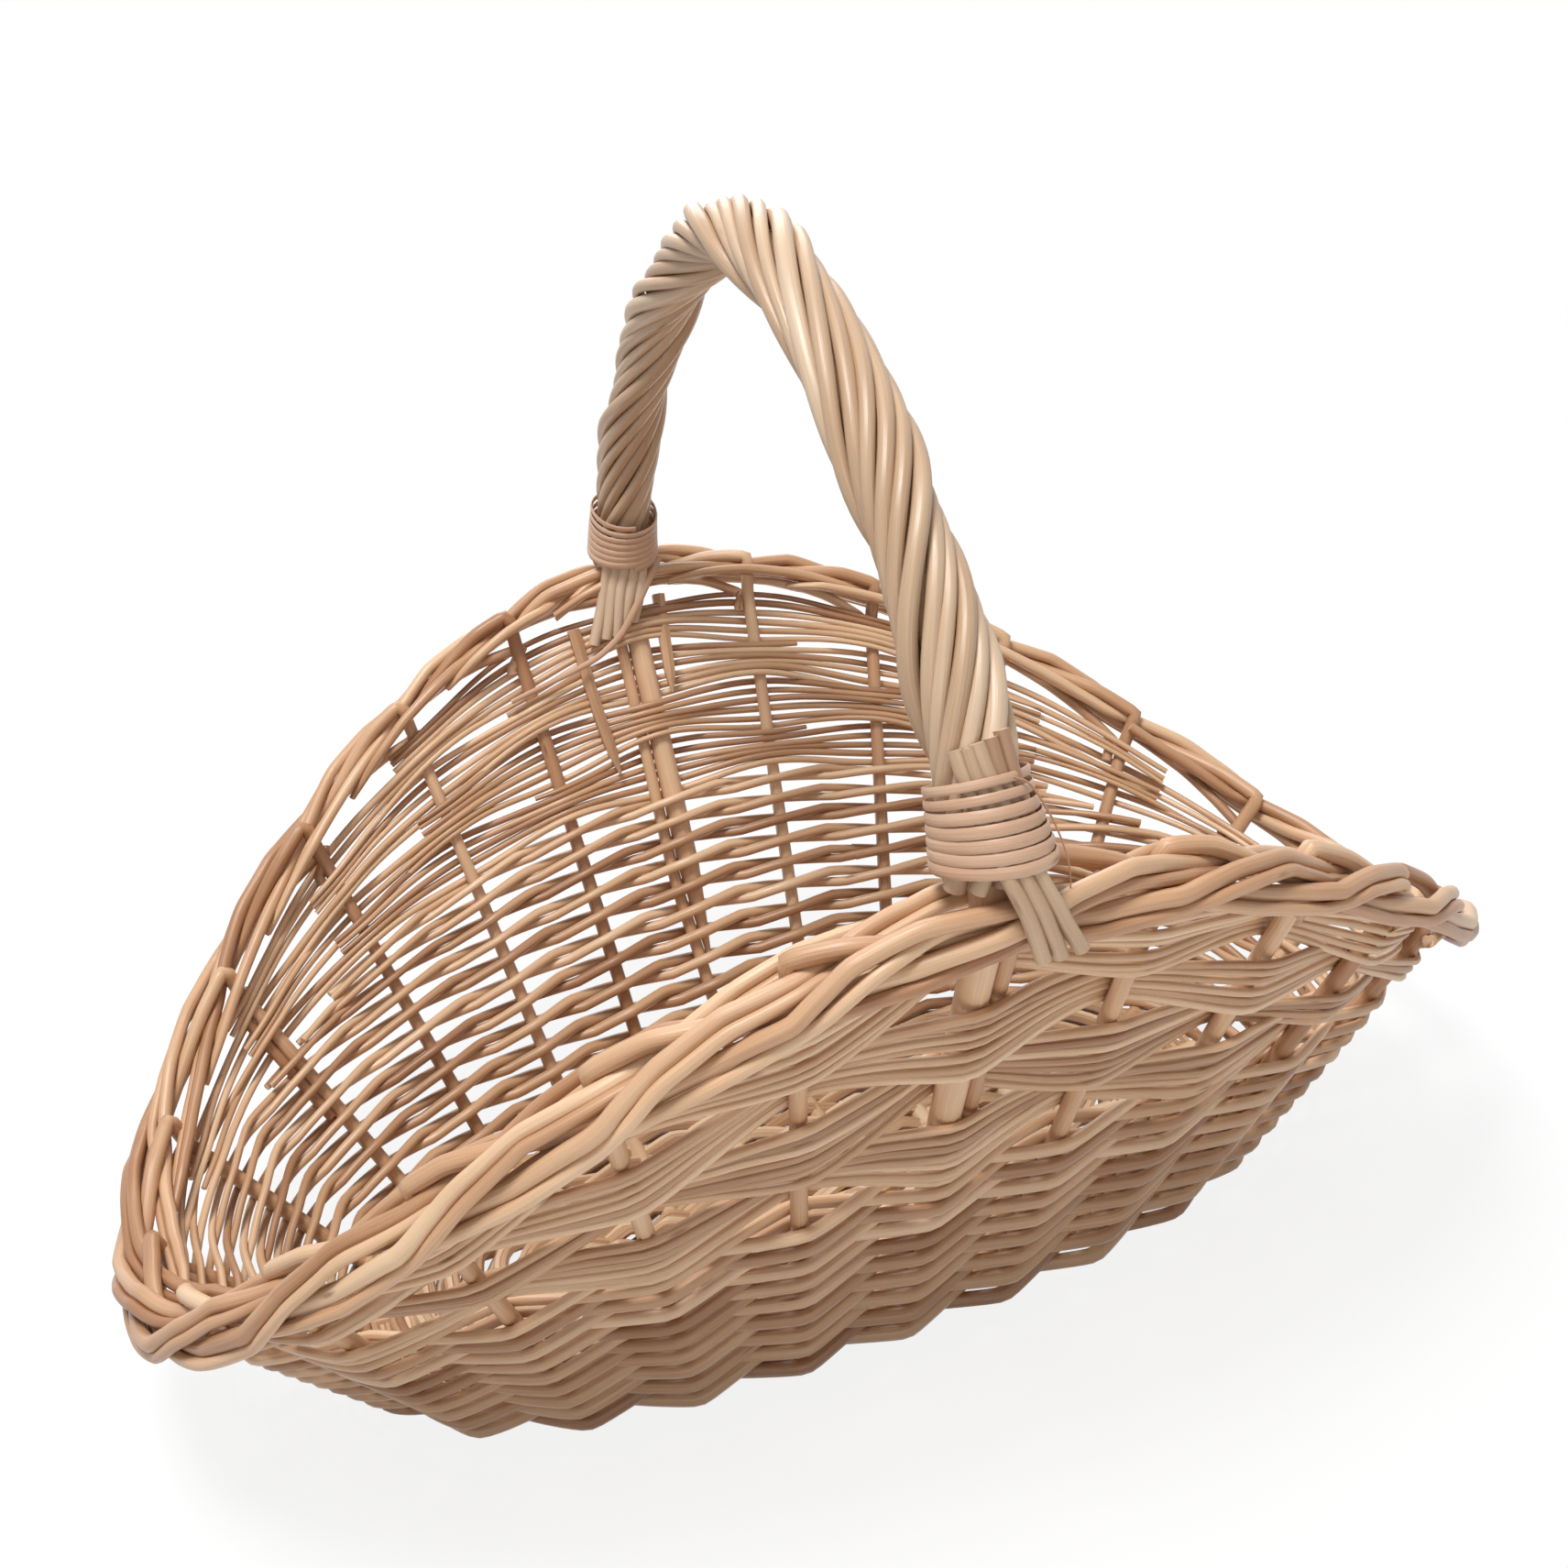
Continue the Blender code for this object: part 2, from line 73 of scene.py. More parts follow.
# Stakes, each with a thinner rod beside it, its liner: a few liners reach down into the lower wall
STAKES = 24
FAR_FOOT = STAKES // 4
NEAR_FOOT = 3 * STAKES // 4
FEET = (FAR_FOOT, NEAR_FOOT)
STAKE_RADIUS = 0.0021
STAKE_TIP_SHARE = 0.83
LINER_RADIUS = 0.00160
LINER_TIP_SHARE = 0.80
LONG_LINER_SHARE = 0.1
LINER_FOOT_SHARE = 0.6
LINER_STUB = 0.006
LINER_LOW_SHARE = 0.03
SOCKET_DEPTH = 0.014
SOCKET_HEIGHT = BASE_THICKNESS / 2
LEG_POINTS = 9
STAKE_STEPS = 2
STAKE_WANDER = (14, 0.03)
STAKE_SIZE_SHARES = (0.95, 1.03)

# Bow: its radius from its point in the weave to the border, and how fast the weavers' swing round it fades
BOW_RADIUS = 0.0045
BOW_REACH_SHARE = 0.22
BOW_RADII = ((0.22, 0.0007), (0.38, 0.0034), (0.85, 0.0036), (1.0, 0.0038))
BOW_TOP_SHARE = 0.95
BOW_FADE = 1.3
ARCH_POINTS = 60

# Lower wall: rows of two weavers that twist round each other and enclose every stake. The short rows lie on
# top at the back only, over these shares of the half width.
ROWS = 9
SHORT_ROWS = 3
SHORT_ROW_START_SHARE = 0.4
SHORT_ROW_FULL_SHARE = 0.9
SHORT_ROW_LEAST_SHARE = 0.22
THIN_ROW_SHARE = 0.04
ROW_GROWTH_SHARE = 0.45
PAIRING_SHARE_AT_SIDES = 0.50
PAIRING_SHARE_AT_ENDS = 0.74
PAIRING_BACK_SHARE = 0.06
WEAVER_RADII = (0.0012, 0.0021)
WEAVER_SIZE_SHARE = 0.91
KINK = 0.985
CROSSING_DELAY = 0.06
ROW_SINK = 0.0035
WALL_STEPS = 12
WEAVER_LIFT_WANDER = (WALL_STEPS, 0.00018)
WEAVER_SIZE_WANDER = (WALL_STEPS, 0.04)
ROW_START = 0.2
ROW_OVERLAP = 0.1
SHORT_ROW_TUCK = 0.4
BACK_POINTS = 10 * STAKES

# Openwork bands of thin weavers
BANDS = 4
BAND_RODS = 7
BAND_ROD_RADIUS = 0.00114
BAND_FAN_SHARE = 0.25
BAND_STEPS = 10
BAND_HEIGHT_WANDER = (BAND_STEPS, 0.00028)
BAND_OFFSET_WANDER = (BAND_STEPS, 0.00045)
BAND_ROOM_SHARE = 0.8
BAND_RING_START = 0.2
BAND_RING_OVERLAP = 0.45
BAND_END_REACH = 0.35
BAND_LEAST_STEP_SHARE = 1.06
BAND_FILL_SHARE = 0.99
BAND_SIZE_SHARES = (0.84, 1.08)
BAND_TAPER_SHARE = 0.25
BAND_TAPER_POWER = 6
BORDER_ROOM = 0.0078

# Border: where a rod is after each number of spacings, out from the rim and up, as shares of the reach
BORDER_REACH = 0.0085
BORDER_TILT = math.radians(14)
BORDER_ROUTE_SHARES = (
    (0.00, -0.42, 0.50),
    (0.30, -0.24, 0.46),
    (0.65, 0.08, 0.14),
    (1.00, 0.48, -0.10),
    (1.50, 0.80, -0.27),
    (1.95, 0.98, -0.12),
    (2.30, 0.62, 0.36),
    (2.65, 0.28, 0.50),
    (3.00, 0.10, 0.22),
    (3.20, -0.12, 0.05),
    (3.45, -0.42, 0.00),
    (3.75, -0.75, 0.05),
    (4.10, -0.93, 0.03),
    (4.40, -0.88, -0.10),
    (4.70, -0.50, -0.40),
)
# A liner starts on a route of its own, and goes on beside its stake, this far out from it and up
LINER_ROUTE_SHARES = (
    (0.00, 0.02, -0.95),
    (0.30, 0.08, -0.55),
    (0.60, 0.38, -0.30),
    (1.00, 0.72, -0.18),
)
LINER_SHIFT_SHARES = (0.26, -0.07)
# The border droops at the +X tip, over this many spacings to each side
DROOP_RUN = 2.0
DROOP_TILT = math.radians(22)
DROOP_REACH = -0.0010
TIP_TUCK = 0.004
TIP_NARROWING = 0.25
DROOP_DEPTH = 0.0045
DROOP_ROOM = 0.005
# Rods that overlap are pushed apart, pulled back to their routes and straightened, round after round
BORDER_STEPS = 12
BORDER_ROUNDS = 90
BORDER_END_TAPER = 0.45
BORDER_TAPER_POWER = 10
BORDER_LAPS = 5
ROUTE_UNEVENNESS = 0.0003
RUN_UNEVENNESS = 0.025
PUSH_SHARE = 0.45
PULL_SHARE = 0.02
STRAIGHTENING_SHARE = 0.25
LEAST_DISTANCE = 1e-6
# They part round the bow over this many spacings, and each stake's bend stands up and forward a little
BOW_CLEARANCE_RUN = 1.2
KNUCKLE_RISE = 0.0022
KNUCKLE_REACH = 0.0008
# Rods that lie on top before the +X tip are cut there: by stake, how many spacings it and its liner run
SHORT_RUNS = {18: (2.85, 2.75), 19: (2.65, 2.6), 20: (2.8, 2.7), 21: (2.6, 2.5), 22: (4.1, 3.2)}

# Handle: rods twisted round the bow in groups. The turns that they have made are given with the share of
# the way along it.
HANDLE_GROUPS = (3, 3, 2, 3)
HANDLE_ROD_SIZES = (1.0, 0.85, 1.05, 0.95, 1.25, 0.9, 1.0, 0.85, 1.0, 0.95, 1.2)
HANDLE_ROD_RADIUS = 0.0019
HANDLE_TURNS = ((0, 0), (0.27, 0.94), (0.40, 1.16), (1, 2.9))
HANDLE_PHASE = -0.125
HANDLE_RING_RADIUS = 0.0071
HANDLE_FAN_RODS = 5.5
HANDLE_RIDE = 0.0022
HANDLE_SMOOTHINGS = 60
HANDLE_SMOOTHING_SHARE = 0.5
HANDLE_ROD_DROP = 0.003
HANDLE_POINTS = 150
HANDLE_ANGLE_WANDER = (22, 0.035)
HANDLE_RING_WANDER = (18, 0.00025)
HANDLE_SIZE_WANDER = (25, 0.07)
HANDLE_TONES = (0.25, 0.75)

# Skein windings, and the lobe that each makes over the foot rods: its direction in degrees at the bottom
# and at the top
BINDING_TURNS = 7
BINDING_PITCH = 0.0024
BINDING_FOOT = 0.0088
BINDING_RADIUS = 0.0101
BINDING_FLARE = 0.0010
BINDING_LOBE = 0.0029
BINDINGS = (("near_skein", True, (205, 150)), ("far_skein", False, (20, 0)))
BINDING_TURN_STEPS = 28
BINDING_SPREAD = 0.00025
BINDING_SPREAD_START = 4.6
BINDING_WANDER = (14, 0.00012)
SKEIN_HALF_WIDTHS = ((0, 0.00128), (4.6, 0.00124), (5.2, 0.00098), (7, 0.00092))
SKEIN_HALF_THICKNESS = 0.00045
SKEIN_TONE = 0.5

# Rods that end at the handle's feet: how far up the handle in mm, the direction in degrees, and how far
# out in mm
NEAR_FOOT_RODS = (
    ((31, 141, 10.9), (24, 147, 10.7), (10, 168, 11.6), (1, 187, 12.4), (-6, 195, 13.3)),
    ((31, 153, 10.9), (24, 159, 10.7), (10, 182, 11.8), (1, 200, 13.4), (-6, 209, 14.6)),
    ((31.5, 163, 10.9), (24, 171, 10.7), (10, 196, 12.0), (1, 213, 14.8), (-5.5, 222, 17.2)),
)
NEAR_DARK_RODS = (
    ((32, 177, 10.8), (24, 183, 10.6), (12, 205, 10.8)),
    ((33, 191, 10.8), (24, 197, 10.6), (12, 215, 10.8)),
)
FAR_FOOT_RODS = (
    ((14, -22, 10.2), (4, -14, 11.2), (-4, -4, 12.3), (-11, 6, 12.3)),
    ((14, -6, 10.2), (4, 2, 11.2), (-4, 10, 12.3), (-12, 17, 12.6)),
    ((14, 10, 10.2), (4, 18, 11.2), (-4, 24, 12.6), (-15, 29, 14.4)),
    ((14, 26, 10.2), (4, 31, 11.2), (-4, 36, 12.9), (-15.5, 40, 16.4)),
    ((14, 42, 10.2), (4, 45, 11.2), (-4, 48, 13.4), (-17, 50, 19.3)),
)
FOOT_ROD_RADIUS = 0.00165
NEAR_DARK_ROD_RADIUS = 0.95 * FOOT_ROD_RADIUS
FAR_FOOT_ROD_RADIUS = 1.1 * FOOT_ROD_RADIUS
NEAR_FOOT_TONES = (0.3, 0.7)
NEAR_DARK_TONE = -0.9
FAR_FOOT_TONES = (0.6, 0.9)
LOOSE_FIBRE = ((25, 188, 12.4), (23, 203, 13.0), (16, 219, 14.2), (9, 229, 15.0), (3, 238, 14.6))
LOOSE_FIBRE_RADIUS = 0.00028
LOOSE_FIBRE_TIP_SHARE = 0.5
LOOSE_FIBRE_TONE = -0.6

# The far skein's loose end, and cut rods that stand in the wall inside: place, share of the height, offset
SKEIN_TAIL = (
    (5.75, 1.02, -0.0105), (5.88, 0.975, -0.0115), (6.03, 0.925, -0.0105), (6.18, 0.885, -0.0085),
    (6.38, 0.860, -0.0075), (6.60, 0.852, -0.0070), (6.88, 0.853, -0.0065), (7.20, 0.861, -0.0060),
)
SKEIN_TAIL_TIP_SHARE = 0.6
SKEIN_TAIL_TONE = 0.3
SKEIN_TAIL_FLATNESS = 0.4
SKEIN_TAIL_PROBE = 0.01
WALL_PEGS = (
    ((6.52, 0.93, -0.0015), (6.50, 0.76, -0.0020), (6.45, 0.62, -0.0030)),
    ((5.76, 0.95, -0.0015), (5.79, 0.85, -0.0025), (5.82, 0.75, -0.0035)),
)
WALL_PEG_RADIUS = 0.0022
WALL_PEG_TAPER_SHARES = ((0, 0.8, 1), (1, 0.9, 0.2))

# Base: rows of paired weaving on sticks
BASE_ROWS = 17
BASE_ROW_PITCH = 0.0033
BASE_EDGE_INSET = 0.0055
BASE_WEAVER_RADIUS = 0.0013
BASE_STEPS = 8
BASE_PHASE = 0.5
CROSS_STICKS = 6
BASE_STICK_RADIUS = 0.0026
CROSS_STICK_SHARES = (0.09, 0.91)
CROSS_STICK_POINTS = 12
LONG_STICK_RADIUS = 0.85 * BASE_STICK_RADIUS
LONG_STICK_PLACES = (0.5, -0.5)
LONG_STICK_SHARES = (0.04, 0.96)
LONG_STICK_POINTS = 24

# Willow's surface: how often fibres, patches and buds repeat per metre across and along, and their weights
FIBRE_SCALE = (2200, 2200, 40)
PATCH_SCALE = (90, 90, 22)
BUD_SCALE = (130, 130, 26)
FIBRE_DETAIL = 3
PATCH_DETAIL = 2
TONE_WEIGHT = 0.6
FIBRE_WEIGHT = 0.3
PATCH_WEIGHT = 0.5
VALUE_SHIFT = 0.20
MIDDLE_TONE = 0.5
TONE_SPREAD = 0.27
TONE_STOPS = (0.22, 0.5, 0.78)
BUD_STOPS = (0.03, 0.085)
BUD_COLOUR = (0.36, 0.26, 0.2)
BUD_WEIGHT = 0.8
ROUGHNESS = 0.38
ROUGHNESS_SPREAD = 0.18
BUMP_STRENGTH = 0.35
BUMP_DISTANCE = 0.0004
BUMP_PATCH_WEIGHT = 1.5
# The deep, middle and pale colour of each slot's willow
WILLOWS = {
    "stake_willow": ((0.37, 0.175, 0.08), (0.58, 0.34, 0.19), (0.74, 0.51, 0.32)),
    "weaver_willow": ((0.34, 0.165, 0.08), (0.55, 0.325, 0.178), (0.73, 0.50, 0.315)),
    "base_willow": ((0.36, 0.19, 0.10), (0.56, 0.36, 0.21), (0.74, 0.55, 0.37)),
    "handle_willow": ((0.38, 0.22, 0.125), (0.54, 0.375, 0.24), (0.66, 0.50, 0.355)),
    "skein_willow": ((0.46, 0.245, 0.14), (0.58, 0.36, 0.235), (0.70, 0.50, 0.36)),
}

# Studio
FLOOR_HALF_SIZE = 6
FLOOR_DROP = 0.0005
FLOOR_ROUGHNESS = 0.9
FLOOR_COLOUR = (0.9, 0.9, 0.9)
FLOOR_BOUNCE_SHARE = 0.6
FLOOR_LIGHT_SHARE = 0.85
FLOOR_FADE_START = 0.35
FLOOR_FADE_END = 1.2
WORLD_STRENGTH = 0.34
LAMPS = (
    ("key", (-0.30, -0.25, 1.5), 0.5, 19),
    ("fill", (-0.3, -1.3, 0.6), 0.9, 2),
    ("back", (0.3, 1.1, 0.9), 0.9, 7),
)
LAMP_TARGET = (0, 0, 0.1)
# Strips of light on the floor before and behind the basket, which brighten the rods' undersides
LOW_LAMP_PLACE = (0.0, -0.25, 0.004)
LOW_LAMP_SIZES = (0.7, 0.08)
LOW_LAMP_POWER = 0.35

# Tubes: their sides, the angle past which an edge is sharp, and the places where their grain starts
ROUND_SIDES = 8
FIBRE_SIDES = 5
THIN_SIDES = 6
THICK_SIDES = 10
HANDLE_SIDES = 12
EDGE_ANGLE = math.radians(55)
GRAIN_SHIFT = 50
STEEP_SHARE = 0.8
RANDOM_SEED = 4
UP = np.array((0.0, 0.0, 1.0))
ALONG = np.array((1.0, 0.0, 0.0))
dice = np.random.default_rng(RANDOM_SEED)


# Lines

def unit(vectors):
    return vectors / np.linalg.norm(vectors, axis=-1, keepdims=True)


def measured(points):
    steps = np.linalg.norm(np.diff(points, axis=0), axis=1)
    return points, np.concatenate([[0], np.cumsum(steps)])


def point_along(line, wanted):
    points, lengths = line
    return np.stack([np.interp(wanted, lengths, points[:, axis]) for axis in range(3)], -1)


def superellipse(half_length, half_width, power, angle):
    along, across = np.cos(angle), np.sin(angle)
    first = half_length * np.sign(along) * np.abs(along) ** (2 / power)
    second = half_width * np.sign(across) * np.abs(across) ** (2 / power)
    return first, second


def oval(half_length, half_width, power, shift):
    x, y = superellipse(half_length, half_width, power, np.linspace(0, 2 * math.pi, OUTLINE_STEPS + 1))
    return measured(np.stack([x + shift, y, 0 * x], 1))


RIM = oval(RIM_HALF_LENGTH, RIM_HALF_WIDTH, RIM_ROUNDNESS, 0)
BASE = oval(BASE_HALF_LENGTH, BASE_HALF_WIDTH, BASE_ROUNDNESS, BASE_OFFSET)
RIM_SPACING = RIM[1][-1] / STAKES
BASE_SPACING = BASE[1][-1] / STAKES


def oval_point(line, place):
    return point_along(line, line[1][-1] * (np.asarray(place, float) % STAKES) / STAKES)


def wall_ends(place):
    foot = oval_point(BASE, place)
    foot[..., 2] = SOCKET_HEIGHT
    top = oval_point(RIM, place)
    dip = np.abs(top[..., 0] / RIM_HALF_LENGTH) ** RIM_DIP
    top[..., 2] = RIM_SIDE_HEIGHT - (RIM_SIDE_HEIGHT - RIM_END_HEIGHT) * dip
    return foot, top


def wall_along(place, rise):
    rise = np.asarray(rise, float)[..., None]
    before, after = wall_ends(place - PLACE_STEP_SHARE), wall_ends(place + PLACE_STEP_SHARE)
    return unit(after[0] + (after[1] - after[0]) * rise - before[0] - (before[1] - before[0]) * rise)


def tip_droop(place):
    """How much the border hangs outwards: fully at the +X tip, and not at all some way from it."""
    distance = (np.asarray(place, float) + STAKES / 2) % STAKES - STAKES / 2
    return np.exp(-(distance / DROOP_RUN) ** 2)


def wall_point(place, rise, offset=0.0):
    """Points of the wall at these places and shares of its height, this far out from its middle."""
    place, rise, offset = np.broadcast_arrays(np.asarray(place, float), rise, offset)
    foot, top = wall_ends(place)
    outward = unit(np.cross(wall_along(place, rise), top - foot))
    offset = offset - TIP_TUCK * tip_droop(place) * rise ** 2
    return foot + (top - foot) * rise[..., None] + outward * offset[..., None]


def wall_height(place):
    foot, top = wall_ends(place)
    return np.linalg.norm(top - foot, axis=-1)


def pairing_top(place):
    rim = oval_point(RIM, place)
    to_tip = (rim[..., 0] / RIM_HALF_LENGTH) ** 2
    top = PAIRING_SHARE_AT_SIDES + (PAIRING_SHARE_AT_ENDS - PAIRING_SHARE_AT_SIDES) * to_tip
    return top + PAIRING_BACK_SHARE * rim[..., 1] / RIM_HALF_WIDTH


def bands_top(place):
    return 1 - (BORDER_ROOM + DROOP_ROOM * tip_droop(place)) / wall_height(place)


def band_pitch(place):
    return (bands_top(place) - pairing_top(place)) * wall_height(place) / BANDS


def from_foot(place):
    """The signed distance to the nearest handle foot, in spacings."""
    distances = np.stack([(place - foot + STAKES / 2) % STAKES - STAKES / 2 for foot in FEET])
    return np.take_along_axis(distances, np.abs(distances).argmin(0)[None], 0)[0]


def bow_radius(rise):
    """The bow's radius where it stands in the wall."""
    table = np.array(BOW_RADII)
    return np.interp(rise, table[:, 0], table[:, 1])


def rod_radius(place, rise):
    """The radius of what stands in the wall at the nearest stake."""
    share = np.clip(BOW_FADE - np.abs(from_foot(place)) * BOW_FADE, 0, 1)
    return STAKE_RADIUS + np.maximum(bow_radius(rise) - STAKE_RADIUS, 0) * share


def stake_place(number, rise):
    """A stake's place. At a handle foot the bow has that place, and the stake stands beside it."""
    rise = np.asarray(rise, float)
    if number not in FEET:
        return number + 0 * rise
    spacing = BASE_SPACING + (RIM_SPACING - BASE_SPACING) * rise
    beside = bow_radius(rise) + STAKE_RADIUS
    return number + beside / spacing * np.minimum(rise / BOW_REACH_SHARE, 1)


def handle_line():
    rise = HANDLE_HEIGHT - RIM_SIDE_HEIGHT
    angle = np.linspace(0, math.pi, OUTLINE_STEPS + 1)
    y, z = superellipse(RIM_HALF_WIDTH, rise, HANDLE_ROUNDNESS, angle)
    z = np.maximum(z, 0)
    return measured(np.stack([HANDLE_LEAN_OFFSET * z / rise, -y, RIM_SIDE_HEIGHT + z], 1))


HANDLE = handle_line()
HANDLE_LENGTH = HANDLE[1][-1]
HANDLE_ACROSS = unit(np.array((HANDLE_HEIGHT - RIM_SIDE_HEIGHT, 0, -HANDLE_LEAN_OFFSET)))


def handle_spoke(distance, angle):
    """The handle's middle at distances from the near foot, and directions out of it at angles."""
    step = HANDLE_LENGTH / OUTLINE_STEPS
    held = np.clip(distance, step, HANDLE_LENGTH - step)
    along = unit(point_along(HANDLE, held + step) - point_along(HANDLE, held - step))
    outward = np.cross(along, HANDLE_ACROSS)
    angle = np.asarray(angle)[..., None]
    middle = point_along(HANDLE, held) + along * (distance - held)[..., None]
    return middle, outward * np.cos(angle) - HANDLE_ACROSS * np.sin(angle)


def foot_route(knots, from_near):
    """A line near a handle foot, from its heights up the handle, directions and reaches."""
    height, degrees, reach = smoothed(np.array(knots, float), ROUTE_STEPS).T
    distance = height / 1000 if from_near else HANDLE_LENGTH - height / 1000
    middle, spoke = handle_spoke(distance, np.radians(degrees))
    return middle + spoke * (reach / 1000)[:, None]


# Rods

def smoothed(points, steps):
    """A Catmull-Rom curve through points, with this many steps to each span."""
    points = np.asarray(points, float)
    padded = np.concatenate([2 * points[:1] - points[1:2], points, 2 * points[-1:] - points[-2:-1]])
    share = (np.arange(steps) / steps)[:, None]
    spans = []
    for index in range(len(points) - 1):
        before, first, second, after = padded[index:index + 4]
        slope, end_slope = (second - before) / 2, (after - first) / 2
        bend = 3 * (second - first) - 2 * slope - end_slope
        twist = 2 * (first - second) + slope + end_slope
        spans.append(first + slope * share + bend * share ** 2 + twist * share ** 3)
    return np.concatenate(spans + [points[-1:]])


def wander(length, period, size):
    """Random values in a row, straight between their knots, which lie this period apart."""
    knots = dice.normal(0, size, length // period + 3)
    return np.interp(np.arange(length) / period, np.arange(len(knots)), knots)


def carried_sides(points, first_side):
    """A direction square to a line at each of its points, carried along without twisting."""
    tangents = unit(np.gradient(points, axis=0))
    sides = np.empty_like(points)
    side = first_side
    for index, tangent in enumerate(tangents):
        side = side - tangent * side.dot(tangent)
        side = side / np.sqrt(side.dot(side))
        sides[index] = side
    return sides, np.cross(tangents, sides)


class Rods:
    """The rods of one piece, gathered into one mesh."""

    def __init__(self):
        self.vertices, self.faces, self.ends = [], [], []
        self.grain, self.tone = [], []
        self.count = 0

    def add(self, points, radius, tone=None, sides=ROUND_SIDES, flatness=1.0, facing=None):
        """A closed tube. Facing gives the directions that a flat strip's face looks in."""
        points = np.asarray(points, float)
        radius = np.broadcast_to(np.asarray(radius, float), len(points))
        if tone is None:
            tone = float(np.clip(dice.normal(MIDDLE_TONE, TONE_SPREAD), 0, 1))
        if facing is None:
            start = points[1] - points[0]
            helper = UP if abs(unit(start)[2]) < STEEP_SHARE else ALONG
            across, over = carried_sides(points, np.cross(start, helper))
        else:
            tangents = unit(np.gradient(points, axis=0))
            across = unit(np.cross(tangents, facing))
            over = np.cross(across, tangents)
        angles = 2 * math.pi * np.arange(sides) / sides
        wide, high = np.cos(angles)[None, :, None], np.sin(angles)[None, :, None] * flatness
        reach = radius[:, None, None]
        rings = points[:, None] + (across[:, None] * wide + over[:, None] * high) * reach
        lengths = measured(points)[1] + dice.uniform(0, GRAIN_SHIFT)
        grain = np.empty(rings.shape)
        grain[..., 0] = radius[:, None] * np.cos(angles)
        grain[..., 1] = radius[:, None] * np.sin(angles)
        grain[..., 2] = lengths[:, None]
        self.vertices.append(rings.reshape(-1, 3))
        self.grain.append(grain.reshape(-1, 3))
        self.tone.append(np.full(rings.shape[0] * sides, tone))
        corner = self.count + np.arange(len(points) * sides).reshape(-1, sides)
        first, second = corner[:-1], corner[1:]
        quads = np.stack([first, np.roll(first, -1, 1), np.roll(second, -1, 1), second], -1)
        self.faces += quads.reshape(-1, 4).tolist()
        self.faces += [corner[0][::-1].tolist(), corner[-1].tolist()]
        self.ends += [0.0] * (len(quads) * sides) + [1.0, 1.0]
        self.count += corner.size

    def piece(self, name, slot, nodes):
        """The piece that stands for these nodes, riding on the basket's one body."""
        mesh = bpy.data.meshes.new(name)
        mesh.from_pydata(np.concatenate(self.vertices), [], self.faces)
        mesh.materials.append(MATERIALS[slot])
        for key, kind, domain, values in (
                ("grain", "FLOAT_VECTOR", "POINT", np.concatenate(self.grain)),
                ("tone", "FLOAT", "POINT", np.concatenate(self.tone)),
                ("cut_end", "FLOAT", "FACE", np.array(self.ends))):
            attribute = mesh.attributes.new(key, kind, domain)
            field = "vector" if kind == "FLOAT_VECTOR" else "value"
            attribute.data.foreach_set(field, values.astype(np.float32).ravel())
        mesh.shade_smooth()
        mesh.set_sharp_from_angle(angle=EDGE_ANGLE)
        thing = bpy.data.objects.new(name, mesh)
        bpy.context.scene.collection.objects.link(thing)
        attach(thing, "root")
        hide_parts(*nodes)


# Materials

